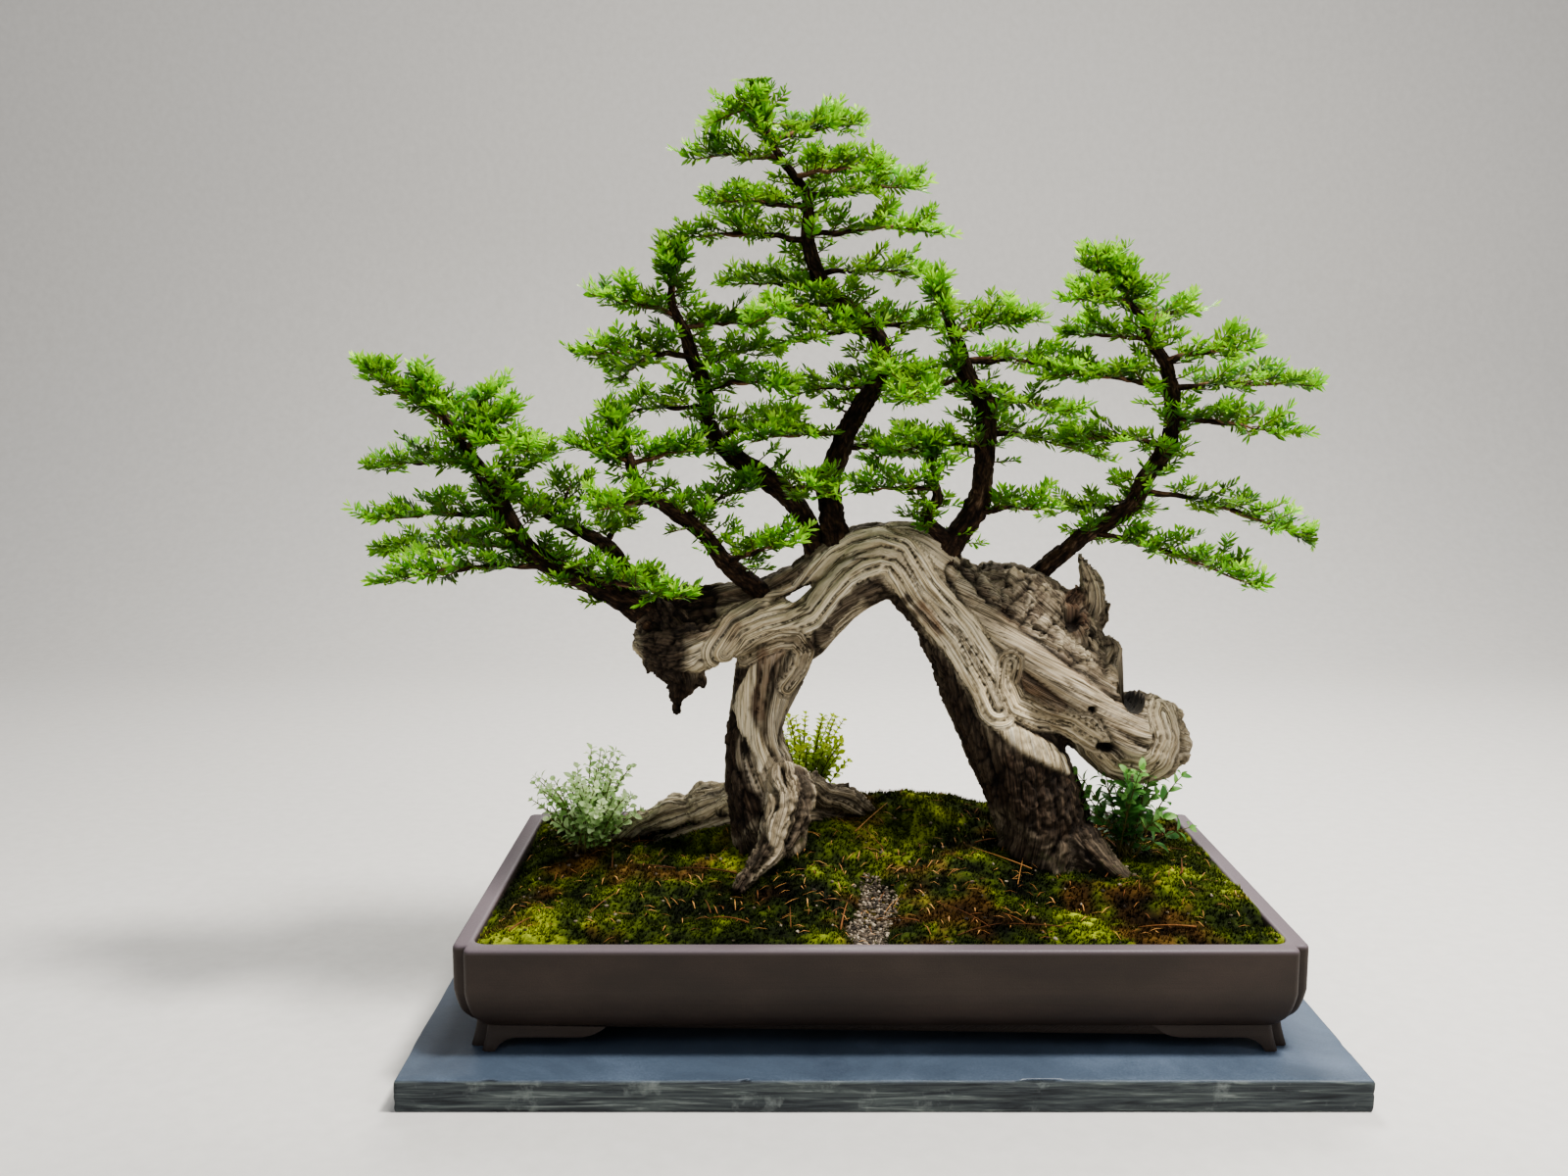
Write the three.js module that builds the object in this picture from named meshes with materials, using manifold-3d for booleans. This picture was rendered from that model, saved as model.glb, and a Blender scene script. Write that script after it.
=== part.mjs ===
// A coast redwood grown as a bonsai over a bleached arch of dead wood, in a shallow stoneware pot on a slab of slate.
// Millimetres, +Z up, front towards -Y. The origin is the middle of the slab's underside.
import * as THREE from "three";
import { mergeVertices } from "three/addons/utils/BufferGeometryUtils.js";
import Module from "manifold-3d";

const wasm = await Module();
wasm.setup();

// Driving dimensions of the slab, the pot and its drainage
const slab = { length: 775, width: 480, thickness: 27, chamfer: 2 };
const pot = { length: 700, width: 400, height: 91, feet: 21, wall: 16, floor: 10 };
const corner = { notch: 11, lobe: 5, inside: 14 };
const foot = { heel: 22, apron: 100, end: 126, drop: 10, thickness: 15, flare: 11, curl: 20, sweep: 16 };
const drain = { radius: 15, spacing: 380, screen: 50, bar: 5, openings: 2, thickness: 1.5 };
const gap = 0.3;
const overcut = 10;

const twigGap = gap + 0.1;
const potBase = slab.thickness;
const potBottom = potBase + pot.feet;
const potFloor = potBottom + pot.floor;
const rimHeight = potBase + pot.height;

// The pot's profile outside and inside: height over its bottom, and how far it lies inside the rim
const outerProfile = [[0, 15.5], [6, 9], [16, 3.5], [32, 0], [67.5, 0], [70, 2.5]];
const innerProfile = [[10, 26], [20, 19], [34, pot.wall], [70, pot.wall]];

// Soil: its edge under the rim, its mounds as x, y, height, reach in x, reach in y, and the dry gravel channel
const soilEdge = rimHeight - 6;
const mounds = [
  [52, 88, 46, 115, 62],
  [-84, 14, 36, 74, 58],
  [152, 0, 28, 84, 58],
  [-262, 20, 10, 70, 60],
  [272, -4, 12, 60, 60],
  [-150, 95, 16, 90, 50],
];
const channel = { x: -2, y: -118, depth: 15, halfWidth: 19, reach: 82 };
const soilGrid = { columns: 16, rows: 9, shoulder: 34, crest: 4 };

// Old wood: centre line and half-width of each limb at stations picked along it
const limbs = {
  leftLeg: {
    sides: 16, flute: 0.06, twist: 0.11, depth: 0.92,
    line: [[-88, -5, 82, 46], [-90, -5, 142, 41], [-94, 0, 176, 38], [-100, 6, 206, 36], [-105, 9, 238, 28],
      [-103, 10, 266, 26], [-95, 10, 296, 30], [-86, 10, 326, 34], [-76, 10, 348, 30]],
  },
  leftArch: {
    sides: 14, flute: 0.06, twist: 0.1, depth: 0.95,
    line: [[58, 10, 404, 32], [30, 10, 412, 34], [2, 10, 400, 30], [-23, 8, 383, 26], [-43, 6, 363, 24],
      [-65, 4, 344, 27], [-88, 4, 330, 24]],
  },
  snout: {
    sides: 14, flute: 0.08, twist: 0.12, depth: 1,
    line: [[-52, 0, 350, 22], [-92, -5, 351, 23], [-126, -8, 345, 22], [-153, -8, 336, 23], [-176, -4, 330, 27],
      [-195, 2, 333, 24], [-210, 5, 337, 13]],
  },
  jaw: {
    sides: 9, flute: 0.14, twist: 0.2, depth: 0.8,
    line: [[-184, -4, 325, 24], [-178, -4, 298, 17], [-176, -4, 281, 9], [-177, -4, 266, 4]],
  },
  liveLimb: {
    sides: 9, flute: 0.07, twist: 0.15, depth: 1,
    line: [[-202, 10, 356, 20], [-179, 14, 368, 18], [-156, 16, 373, 14], [-129, 16, 376, 13], [-97, 18, 382, 13],
      [-68, 20, 395, 13], [-37, 22, 414, 13], [-6, 20, 430, 13], [26, 18, 434, 12]],
  },
  rightLeg: {
    sides: 18, flute: 0.06, twist: 0.09, depth: 0.92,
    line: [[30, 8, 410, 30], [61, 6, 372, 31], [89, 4, 326, 34], [107, 2, 288, 38], [126, 0, 250, 42],
      [146, 0, 212, 44], [162, 0, 174, 45], [169, 0, 136, 49], [172, 0, 82, 56]],
  },
  log: {
    sides: 16, flute: 0.07, twist: 0.1, depth: 0.95,
    line: [[48, 14, 404, 22], [89, 14, 374, 34], [130, 10, 340, 40], [171, 6, 304, 42], [211, 2, 270, 42],
      [242, 0, 245, 42], [271, 0, 229, 34], [291, 0, 224, 17]],
  },
  hump: {
    sides: 13, flute: 0.12, twist: 0.16, depth: 0.9,
    line: [[95, 24, 386, 18], [118, 24, 379, 29], [146, 24, 362, 36], [178, 22, 340, 34], [206, 20, 314, 24]],
  },
  spike: {
    sides: 8, flute: 0.14, twist: 0.2, depth: 0.8,
    line: [[202, 16, 312, 17], [204, 16, 346, 13], [207, 16, 374, 9], [206, 16, 394, 5.5], [204, 16, 409, 2.5]],
  },
  knob: {
    sides: 7, flute: 0.12, twist: 0.2, depth: 0.9,
    line: [[219, 12, 296, 15], [225, 12, 322, 9], [229, 12, 338, 5]],
  },
  lip: {
    sides: 7, flute: 0.12, twist: 0.2, depth: 0.7,
    line: [[262, 2, 246, 18], [258, 2, 270, 12], [252, 2, 290, 5]],
  },
  leftRoot: {
    sides: 9, flute: 0.1, twist: 0.1, depth: 1,
    line: [[-96, 18, 164, 24], [-118, 34, 174, 19], [-150, 50, 168, 16], [-185, 60, 156, 14], [-219, 66, 142, 12],
      [-252, 70, 118, 9]],
  },
  rightRoot: {
    sides: 8, flute: 0.1, twist: 0.1, depth: 1,
    line: [[-82, 20, 172, 22], [-58, 42, 186, 14], [-30, 64, 182, 12], [-6, 80, 170, 10], [14, 90, 150, 7]],
  },
  frontRoot: {
    sides: 9, flute: 0.12, twist: 0.1, depth: 1,
    line: [[-88, -20, 196, 20], [-86, -38, 166, 20], [-96, -56, 138, 16], [-116, -80, 124, 11], [-134, -104, 110, 7]],
  },
  heelRoot: {
    sides: 8, flute: 0.1, twist: 0.1, depth: 1,
    line: [[190, -14, 150, 28], [216, -44, 134, 14], [236, -68, 122, 9], [246, -94, 108, 6]],
  },
};
const hollow = { x: 232, y: -2, z: 286, size: [24, 17, 15] };

// Live trunks from left to right: centre line and radius, and the station that the crown's own leader grows from.
// `top` holds the crown's twigs and `branches` the side branches, each as the height where it leaves the trunk and
// the x, y, z of its tip. A branch that forks has a second tip.
const trunks = [
  {
    line: [[-199, 8, 360, 20], [-224, 5, 375, 15], [-261, 2, 394, 12], [-294, 0, 408, 11], [-318, -2, 427, 11],
      [-334, 0, 456, 10], [-354, 4, 492, 8], [-370, 4, 514, 6], [-380, 2, 533, 5], [-396, 0, 560, 2.5]],
    leaderFrom: 7,
    top: [[537, -450, -20, 583], [525, -300, -45, 512]],
    branches: [[500, -460, 44, 494], [469, -305, 60, 505], [453, -448, -30, 451], [425, -458, 55, 411],
      [406, -431, -58, 400], [393, -173, -70, 386]],
  },
  {
    line: [[-102, 12, 382, 12], [-134, -15, 415, 9], [-151, -22, 439, 8], [-175, -28, 457, 8], [-197, -30, 472, 7],
      [-211, -30, 488, 6], [-217, -30, 509, 5], [-224, -30, 526, 3]],
    leaderFrom: 5,
    top: [[503, -253, -50, 516], [501, -164, -38, 514]],
    branches: [[453, -113, -5, 479], [467, -237, -85, 465], [412, -74, -75, 434]],
  },
  {
    line: [[-46, 25, 405, 15], [-59, 28, 446, 11], [-79, 28, 473, 11], [-129, 22, 509, 11], [-146, 19, 532, 9],
      [-151, 16, 568, 8], [-161, 14, 593, 7.5], [-168, 12, 615, 6.5], [-180, 9, 644, 4.5], [-179, 8, 671, 2.5]],
    leaderFrom: 7,
    top: [[633, -240, -15, 649], [622, -108, 50, 627]],
    branches: [[595, -251, -35, 597, -235, 78, 574], [586, -90, 70, 609], [552, -242, 40, 542],
      [569, -79, -45, 571], [524, -73, 85, 537], [474, -37, -60, 477]],
  },
  {
    line: [[-28, 24, 424, 17], [-37, 24, 464, 13], [-36, 20, 489, 12], [-17, 14, 538, 11], [6, 10, 578, 10.5],
      [8, 10, 609, 10], [-7, 12, 628, 9], [-38, 14, 655, 8.5], [-51, 12, 677, 8], [-57, 10, 700, 7],
      [-57, 8, 726, 5.7], [-61, 6, 743, 5], [-81, 2, 769, 4], [-91, 0, 786, 3.2], [-100, 0, 814, 2]],
    leaderFrom: 11,
    top: [[814, -132, -14, 802], [785, -19, 24, 802], [770, -157, 20, 772], [754, 1, -35, 756]],
    branches: [[736, 41, 30, 748], [726, -138, -40, 727], [700, -176, 25, 703], [704, 48, -32, 703],
      [670, 47, 60, 675], [654, -129, 66, 665], [644, -103, -62, 625], [622, 66, 55, 623], [619, -66, -48, 609],
      [569, -68, 62, 563], [590, 36, -95, 555], [528, -107, -30, 521], [516, 66, 70, 500]],
  },
  {
    line: [[64, 0, 408, 18], [76, -4, 432, 14], [89, -8, 451, 13], [98, -10, 471, 12], [100, -10, 495, 10],
      [103, -7, 540, 10.5], [98, -4, 561, 10], [87, -2, 576, 9.5], [80, 0, 593, 8.5], [78, 1, 607, 7.5],
      [71, 2, 624, 5.5], [63, 2, 642, 3.5]],
    leaderFrom: 9,
    top: [[618, 135, -40, 628]],
    branches: [[593, 197, 40, 584], [576, 22, -28, 562], [558, 167, -66, 545], [530, 215, 55, 504],
      [519, 1, -30, 507], [456, 148, -40, 462]],
  },
  {
    line: [[145, 34, 380, 12], [163, 34, 399, 10], [183, 32, 416, 9], [205, 30, 435, 9], [228, 26, 449, 9.5],
      [245, 22, 465, 10], [254, 20, 486, 9], [269, 18, 510, 9], [275, 16, 529, 8.5], [275, 14, 560, 8],
      [270, 12, 580, 7.5], [263, 10, 597, 6], [249, 8, 612, 5], [245, 6, 628, 4], [230, 4, 646, 3], [224, 4, 661, 2]],
    leaderFrom: 11,
    top: [[659, 191, -10, 673], [646, 173, -34, 645], [626, 290, 34, 638], [612, 186, 40, 617]],
    branches: [[593, 320, -40, 601], [569, 153, -30, 579], [567, 403, 10, 570], [540, 357, -52, 528],
      [516, 181, 5, 523], [476, 413, 30, 427], [458, 190, 62, 454], [435, 340, -48, 393]],
  },
];

// Two thinner stems that fork off the live wood and carry a branch each
const forks = [
  { line: [[-212, 18, 376, 9], [-242, 28, 420, 7.5], [-283, 32, 443, 5.5], [-316, 34, 458, 4]],
    branches: [[445, -283, 72, 480], [422, -231, 88, 452]] },
  { line: [[76, -6, 426, 9], [49, -16, 452, 7], [58, -24, 470, 5.5], [56, -26, 484, 4]],
    branches: [[479, -10, -55, 478]] },
];

// Twigs. A blade is a needle or a leaf: its length and width, its outline from one foot to the other as shares of
// these, the angle that it leans forward, how far its tip may lie off the plane of its row, and the width of its
// foot on the twig. Pairs of blades stand at `spacing`, turned by `turn` from pair to pair. The twig between them
// has a half-width and a thickness of its own.
const needles = {
  length: 10.5, width: 0, outline: [[1, 0]], lean: 0.9, lift: 2.6, foot: 9, spacing: 9, turn: 0,
  halfWidth: 1.2, thickness: 2.2,
};
const leaf = {
  outline: [[0.42, -0.5], [1, 0], [0.5, 0.5]], lean: 0.5, lift: 2.6, foot: 2.6, turn: 0.5,
  halfWidth: 0.9, thickness: 1.9,
};
const taper = 0.3;
const variation = { length: 0.15, lean: 0.1 };

// A side branch: its bare wood, as a share of its length, and the shoots on the twig that goes on from it, at these
// shares of the twig. A short twig has one shoot. A fork's second twig leaves the first one near its foot.
const branch = { radius: 3, endRadius: 1.8, woodShare: 0.36, arch: 0.07 };
const shoot = { length: 42, share: 0.62, spread: 0.9, droop: 0.22, places: [0.3, 0.58], bare: 5, fork: 0.12 };
const shortTwig = { length: 78, places: [0.42] };
const tipShoot = { sunk: 3, length: 18 };
const leader = { foot: 4, radiusShare: 0.9, sides: 5 };

// Room between one twig and the next, and how far a tip bends aside on each new try to find it
const clearance = 0.5;
const tries = 14;
const bend = 4;

// Small plants at the tree's foot: where they stand, their stems' reach and height, their leaves, and the crown that
// holds the stems and stands in the soil
const accents = {
  thyme_plant: { x: -264, y: 18, stems: 8, reach: 56, height: 104, length: 10, width: 6, spacing: 19, seed: 5 },
  creeping_plant: { x: -58, y: 112, stems: 5, reach: 46, height: 92, length: 11, width: 8, spacing: 21, seed: 8 },
  marjoram_plant: { x: 241, y: -12, stems: 5, reach: 54, height: 84, length: 15, width: 9, spacing: 21, seed: 3 },
};
const crown = { radius: 3, depth: 22, rise: 6, sides: 6 };

// Colours and surface finishes
const finish = {
  slate: { color: 0x5f6c7d, roughness: 0.5, metalness: 0 },
  stoneware: { color: 0x3a302c, roughness: 0.6, metalness: 0 },
  plastic: { color: 0x1c1c1c, roughness: 0.7, metalness: 0 },
  soil: { color: 0x44501f, roughness: 1, metalness: 0 },
  wood: { color: 0x8f7d66, roughness: 0.85, metalness: 0 },
  needles: { color: 0x5fae2e, roughness: 0.6, metalness: 0 },
  thyme_plant: { color: 0xbcd9a0, roughness: 0.7, metalness: 0 },
  creeping_plant: { color: 0x93c62a, roughness: 0.7, metalness: 0 },
  marjoram_plant: { color: 0x5f9150, roughness: 0.7, metalness: 0 },
};

// Seeded random numbers from 0 to 1, so that the tree grows the same way every time
function seededRandom(seed) {
  let state = seed >>> 0;
  return () => {
    state = (Math.imul(state, 1664525) + 1013904223) >>> 0;
    return state / 4294967296;
  };
}

const vector = ([x, y, z]) => new THREE.Vector3(x, y, z);
const upright = new THREE.Vector3(0.01, 0.02, 1);

// A closed three.js geometry as a solid that can be joined and cut
function solid(geometry) {
  const bare = geometry.clone();
  bare.deleteAttribute("normal");
  bare.deleteAttribute("uv");
  const merged = mergeVertices(bare, 1e-3);
  return new wasm.Manifold(new wasm.Mesh({
    numProp: 3,
    vertProperties: new Float32Array(merged.attributes.position.array),
    triVerts: new Uint32Array(merged.index.array),
  }));
}

const join = (solids) => solids.reduce((whole, next) => whole.add(next));

function geometryOf(body) {
  const { numProp, vertProperties, triVerts } = body.getMesh();
  const points = new Float32Array(3 * (vertProperties.length / numProp));
  points.forEach((_, i) => {
    points[i] = vertProperties[Math.floor(i / 3) * numProp + (i % 3)];
  });
  const geometry = new THREE.BufferGeometry();
  geometry.setAttribute("position", new THREE.BufferAttribute(points, 3));
  return geometry.setIndex(new THREE.BufferAttribute(triVerts, 1));
}

// The outer body alone, without loose scraps, slivers or sealed hollows
function outerBody(whole) {
  const bodies = solid(geometryOf(whole)).decompose();
  return bodies.reduce((a, b) => (b.volume() > a.volume() ? b : a));
}

const fuse = (solids) => outerBody(join(solids));

// A geometry from a list of points and a list of triangles
function polyhedron(points, triangles) {
  const geometry = new THREE.BufferGeometry().setFromPoints(points);
  geometry.setIndex(triangles.flat());
  return geometry;
}

// A solid through level rings of equally many points, each counter-clockwise seen from above
function stack(rings) {
  const count = rings[0].length;
  const triangles = [];
  for (let level = 0; level + 1 < rings.length; level++) {
    for (let i = 0; i < count; i++) {
      const a = level * count + i;
      const b = level * count + ((i + 1) % count);
      triangles.push([a, b, b + count], [a, b + count, a + count]);
    }
  }
  const top = (rings.length - 1) * count;
  const floor = THREE.ShapeUtils.triangulateShape(rings[0].map((p) => new THREE.Vector2(p.x, p.y)), []);
  const lid = THREE.ShapeUtils.triangulateShape(rings.at(-1).map((p) => new THREE.Vector2(p.x, p.y)), []);
  floor.forEach(([a, b, c]) => triangles.push([a, c, b]));
  lid.forEach(([a, b, c]) => triangles.push([top + a, top + b, top + c]));
  return solid(polyhedron(rings.flat(), triangles));
}

// The four corners of a plan from the points of the first one
function fourCorners(points, z) {
  const quarter = points.map(([x, y]) => [x, y]);
  const mirrored = [...quarter].reverse();
  return [
    ...quarter.map(([x, y]) => [x, y, z]),
    ...mirrored.map(([x, y]) => [-x, y, z]),
    ...quarter.map(([x, y]) => [-x, -y, z]),
    ...mirrored.map(([x, y]) => [x, -y, z]),
  ].map(vector);
}

function arc(x, y, radius, steps) {
  return Array.from({ length: steps + 1 }, (_, i) => {
    const angle = (i / steps) * (Math.PI / 2);
    return [x + radius * Math.cos(angle), y + radius * Math.sin(angle)];
  });
}

// Plan of the pot outside, with its indented corners
function potRing(z, inset) {
  const x = pot.length / 2 - inset;
  const y = pot.width / 2 - inset;
  const { notch, lobe } = corner;
  return fourCorners([
    ...arc(x - lobe, y - notch - lobe, lobe, 2),
    [x - notch, y - notch],
    ...arc(x - notch - lobe, y - lobe, lobe, 2),
  ], z);
}

// Plan of the pot inside, with plain round corners
function insideRing(z, inset) {
  const round = corner.inside;
  return fourCorners(arc(pot.length / 2 - inset - round, pot.width / 2 - inset - round, round, 3), z);
}

function inside(grow, top) {
  const rings = innerProfile.map(([z, inset]) => insideRing(potBottom + z, inset + grow));
  rings[rings.length - 1] = insideRing(top, pot.wall + grow);
  return stack(rings);
}

// Elevation of what is cut away between two feet: half the length of the side, from the heel to the pot's bottom
function footGap(halfLength) {
  const low = potBase - overcut;
  const under = potBottom - foot.drop;
  const shape = new THREE.Shape();
  const heel = halfLength - foot.flare - foot.heel;
  const apron = halfLength - foot.apron;
  const end = halfLength - foot.end;
  shape.moveTo(-heel, low);
  shape.lineTo(heel, low);
  shape.lineTo(heel, potBase);
  shape.quadraticCurveTo(heel - foot.curl / 4, under, heel - foot.curl, under);
  shape.lineTo(apron, under);
  shape.quadraticCurveTo(apron - foot.sweep, under, end, potBottom);
  shape.lineTo(-end, potBottom);
  shape.quadraticCurveTo(foot.sweep - apron, under, -apron, under);
  shape.lineTo(foot.curl - heel, under);
  shape.quadraticCurveTo(foot.curl / 4 - heel, under, -heel, potBase);
  return shape;
}

function cutThrough(shape, length) {
  const geometry = new THREE.ExtrudeGeometry(shape, { depth: length, bevelEnabled: false, curveSegments: 2 });
  geometry.translate(0, 0, -length / 2);
  geometry.rotateX(Math.PI / 2);
  return geometry;
}

function makePot() {
  const body = stack(outerProfile.map(([z, inset]) => potRing(potBottom + z, inset)));
  const bottomInset = outerProfile[0][1];
  const skirt = stack([potRing(potBase, foot.flare), potRing(potBottom + 1, bottomInset)]);
  const back = foot.flare + foot.thickness;
  const hole = stack([insideRing(potBase - 1, back), insideRing(potBottom, back + 4)]);
  const along = solid(cutThrough(footGap(pot.length / 2), pot.width + 2 * overcut));
  const across = solid(cutThrough(footGap(pot.width / 2), pot.length + 2 * overcut).rotateZ(Math.PI / 2));
  const feet = skirt.subtract(hole).subtract(along).subtract(across);
  const holes = drainPlaces().map((x) => {
    const drill = new THREE.CylinderGeometry(drain.radius, drain.radius, 3 * pot.floor, 16);
    return solid(drill.rotateX(Math.PI / 2).translate(x, 0, potBottom));
  });
  return body.add(feet).subtract(inside(0, rimHeight + overcut)).subtract(join(holes));
}

function makeSlab() {
  const { length, width, thickness, chamfer } = slab;
  const x = length / 2 - chamfer;
  const y = width / 2 - chamfer;
  const shape = new THREE.Shape([[-x, -y], [x, -y], [x, y], [-x, y]].map(([a, b]) => new THREE.Vector2(a, b)));
  const geometry = new THREE.ExtrudeGeometry(shape, {
    depth: thickness - 2 * chamfer,
    bevelThickness: chamfer,
    bevelSize: chamfer,
    bevelSegments: 1,
  });
  return solid(geometry.translate(0, 0, chamfer));
}

function drainPlaces() {
  return [-drain.spacing / 2, drain.spacing / 2];
}

// A square screen with a grid of openings over a drainage hole
function makeScreen(x) {
  const { screen, bar, openings, thickness } = drain;
  const pitch = (screen - bar) / openings;
  const places = Array.from({ length: openings }, (_, i) => (i - (openings - 1) / 2) * pitch);
  const cuts = places.flatMap((across) => places.map((along) => (
    solid(new THREE.BoxGeometry(pitch - bar, pitch - bar, 3 * thickness).translate(across, along, 0)))));
  const plate = solid(new THREE.BoxGeometry(screen, screen, thickness));
  return plate.subtract(join(cuts)).translate(x, 0, potFloor + thickness / 2);
}

// The soil's surface: it rises from the pot's wall over a shoulder to the mounds, and the channel runs down it
function soilHeight(x, y) {
  const toSide = pot.length / 2 - pot.wall - Math.abs(x);
  const toFront = pot.width / 2 - pot.wall - Math.abs(y);
  const shoulder = THREE.MathUtils.smoothstep(Math.min(toSide, toFront), 0, soilGrid.shoulder);
  const bell = (dx, dy) => Math.exp(-(dx * dx) - dy * dy);
  let rise = soilGrid.crest;
  for (const [mx, my, height, reachX, reachY] of mounds) {
    rise += height * bell((x - mx) / reachX, (y - my) / reachY);
  }
  const valley = channel.depth * bell((x - channel.x) / channel.halfWidth, (y - channel.y) / channel.reach);
  return soilEdge + shoulder * rise - valley * (0.35 + 0.65 * shoulder);
}

// The pot's filling, with pockets for the drainage screens and plain holes for what stands in it
function makeSoil(roots) {
  const { columns, rows } = soilGrid;
  const block = new THREE.BoxGeometry(pot.length, pot.width, 2, columns, rows, 1);
  const place = block.attributes.position;
  for (let i = 0; i < place.count; i++) {
    const top = place.getZ(i) > 0;
    place.setZ(i, top ? soilHeight(place.getX(i), place.getY(i)) : potFloor - pot.floor);
  }
  const filling = inside(gap, rimHeight + 100).intersect(solid(block));
  const pockets = drainPlaces().map((x) => {
    const side = drain.screen + 2 * gap;
    const depth = drain.thickness + gap;
    return solid(new THREE.BoxGeometry(side, side, 2 * depth).translate(x, 0, potFloor));
  });
  return outerBody(filling.subtract(join(pockets)).subtract(join(roots)));
}

// A limb: a cylinder whose rings are moved to the stations of a centre line, with flutes that wind along it
function limb(line, { sides = 6, depth = 1, flute = 0, twist = 0, grow = 0 } = {}) {
  const points = line.map(vector);
  const steps = line.length - 1;
  const overall = points[steps].clone().sub(points[0]).normalize();
  const reference = Math.abs(overall.y) > 0.7 ? new THREE.Vector3(0, 0, 1) : new THREE.Vector3(0, 1, 0);
  const geometry = new THREE.CylinderGeometry(1, 1, 1, sides, steps);
  const place = geometry.attributes.position;
  for (let i = 0; i < place.count; i++) {
    const ring = Math.round((place.getY(i) + 0.5) * steps);
    const before = points[Math.max(ring - 1, 0)];
    const after = points[Math.min(ring + 1, steps)];
    const tangent = after.clone().sub(before).normalize();
    const side = new THREE.Vector3().crossVectors(tangent, reference).normalize();
    const front = new THREE.Vector3().crossVectors(side, tangent);
    const angle = Math.atan2(place.getZ(i), place.getX(i));
    const spoke = Math.round((angle / (2 * Math.PI)) * sides);
    const ridge = 1 + flute * Math.cos(spoke * 2.4 + ring) - flute * Math.abs(spoke % 2);
    const reach = Math.hypot(place.getX(i), place.getZ(i)) * (line[ring][3] * ridge + grow);
    const turned = angle + twist * ring;
    const end = ring === 0 ? -grow : ring === steps ? grow : 0;
    const moved = points[ring].clone()
      .addScaledVector(side, reach * Math.cos(turned))
      .addScaledVector(front, reach * Math.sin(turned) * depth)
      .addScaledVector(tangent, end);
    place.setXYZ(i, moved.x, moved.y, moved.z);
  }
  return solid(geometry);
}

// The point of a centre line at a given height
function pointAtHeight(line, height) {
  const index = line.findIndex(([, , z], i) => i + 1 < line.length && z <= height && line[i + 1][2] >= height);
  const from = Math.max(index, 0);
  const share = (height - line[from][2]) / (line[from + 1][2] - line[from][2]);
  return vector(line[from]).lerp(vector(line[from + 1]), THREE.MathUtils.clamp(share, 0, 1));
}

// The gentle arch of a branch from the trunk to its tip
function branchCurve(start, tip) {
  const middle = start.clone().lerp(tip, 0.5);
  middle.z += branch.arch * start.distanceTo(tip);
  return new THREE.QuadraticBezierCurve3(start, middle, tip);
}

// Where blades stand on a twig of a given length, as distances from its start
function bladePlaces(length, bare, { spacing, foot }) {
  const pairs = Math.max(2, Math.floor((length - bare) / spacing));
  const step = (length - bare - foot) / (pairs - 1);
  const places = [{ at: 0, pair: 0, blade: false }];
  for (let pair = 0; pair < pairs; pair++) {
    const at = bare + pair * step;
    places.push({ at, pair, blade: true });
    if (foot < spacing && pair + 1 < pairs) places.push({ at: at + foot, pair, blade: false });
  }
  return places;
}

// Blades in two rows on a slim three-sided twig, as one solid with a ridge on every blade. `bare` is the length
// without blades, and `roll` turns the rows about the twig.
function leafyTwig(curve, kind, { bare, roll, random, grow }) {
  const length = curve.getLength();
  const points = [];
  const put = ({ centre, forward, side, up }, across, above, along) => points.push(centre.clone()
    .addScaledVector(side, across)
    .addScaledVector(up, above)
    .addScaledVector(forward, along)) - 1;
  const frame = (distance, pair) => {
    const at = distance / length;
    const forward = curve.getTangent(at).normalize();
    const turned = roll + kind.turn * (pair % 2 ? 1 : -1);
    const side = forward.clone().cross(upright).normalize().applyAxisAngle(forward, turned);
    return { centre: curve.getPoint(at), forward, side, up: side.clone().cross(forward) };
  };
  const half = kind.halfWidth + grow;
  const rows = bladePlaces(length, bare, kind).map(({ at, pair, blade }) => {
    const here = frame(at, pair);
    const bladeOutline = (way) => {
      const vary = 1 + variation.length * (2 * random() - 1);
      const long = kind.length * (1 - taper * (at / length) ** 2) * vary + grow;
      const lean = kind.lean * (1 + variation.lean * (2 * random() - 1));
      const lift = kind.lift * (2 * random() - 1);
      return kind.outline.map(([out, aside]) => {
        const outward = long * out;
        const sideways = kind.width * aside;
        const across = way * (outward * Math.cos(lean) - sideways * Math.sin(lean));
        const along = outward * Math.sin(lean) + sideways * Math.cos(lean) + kind.foot / 2;
        return put(here, across, lift * out, along);
      });
    };
    return {
      left: put(here, -half, -0.4 * kind.thickness - grow, 0),
      right: put(here, half, -0.4 * kind.thickness - grow, 0),
      top: put(here, 0, 0.6 * kind.thickness + grow, 0),
      leftBlade: blade ? bladeOutline(-1) : [],
      rightBlade: blade ? bladeOutline(1) : [],
    };
  });
  const apex = put(frame(length, 0), 0, 0, kind.length * 0.4);
  const triangles = [[rows[0].left, rows[0].right, rows[0].top]];
  rows.forEach(({ left, right, top, leftBlade, rightBlade }, i) => {
    const next = rows[i + 1] ?? { left: apex, right: apex, top: apex };
    const leftEdge = [left, ...leftBlade, next.left];
    const rightEdge = [right, ...rightBlade, next.right];
    for (let j = 0; j + 1 < leftEdge.length; j++) {
      triangles.push([top, leftEdge[j + 1], leftEdge[j]], [top, rightEdge[j], rightEdge[j + 1]]);
      if (j > 0) triangles.push([left, leftEdge[j], leftEdge[j + 1]], [right, rightEdge[j + 1], rightEdge[j]]);
    }
    triangles.push([left, next.right, right]);
    if (next.top === apex) return;
    triangles.push([top, next.top, next.left], [top, next.right, next.top], [left, next.left, next.right]);
  });
  return solid(polyhedron(points, triangles));
}

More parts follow.
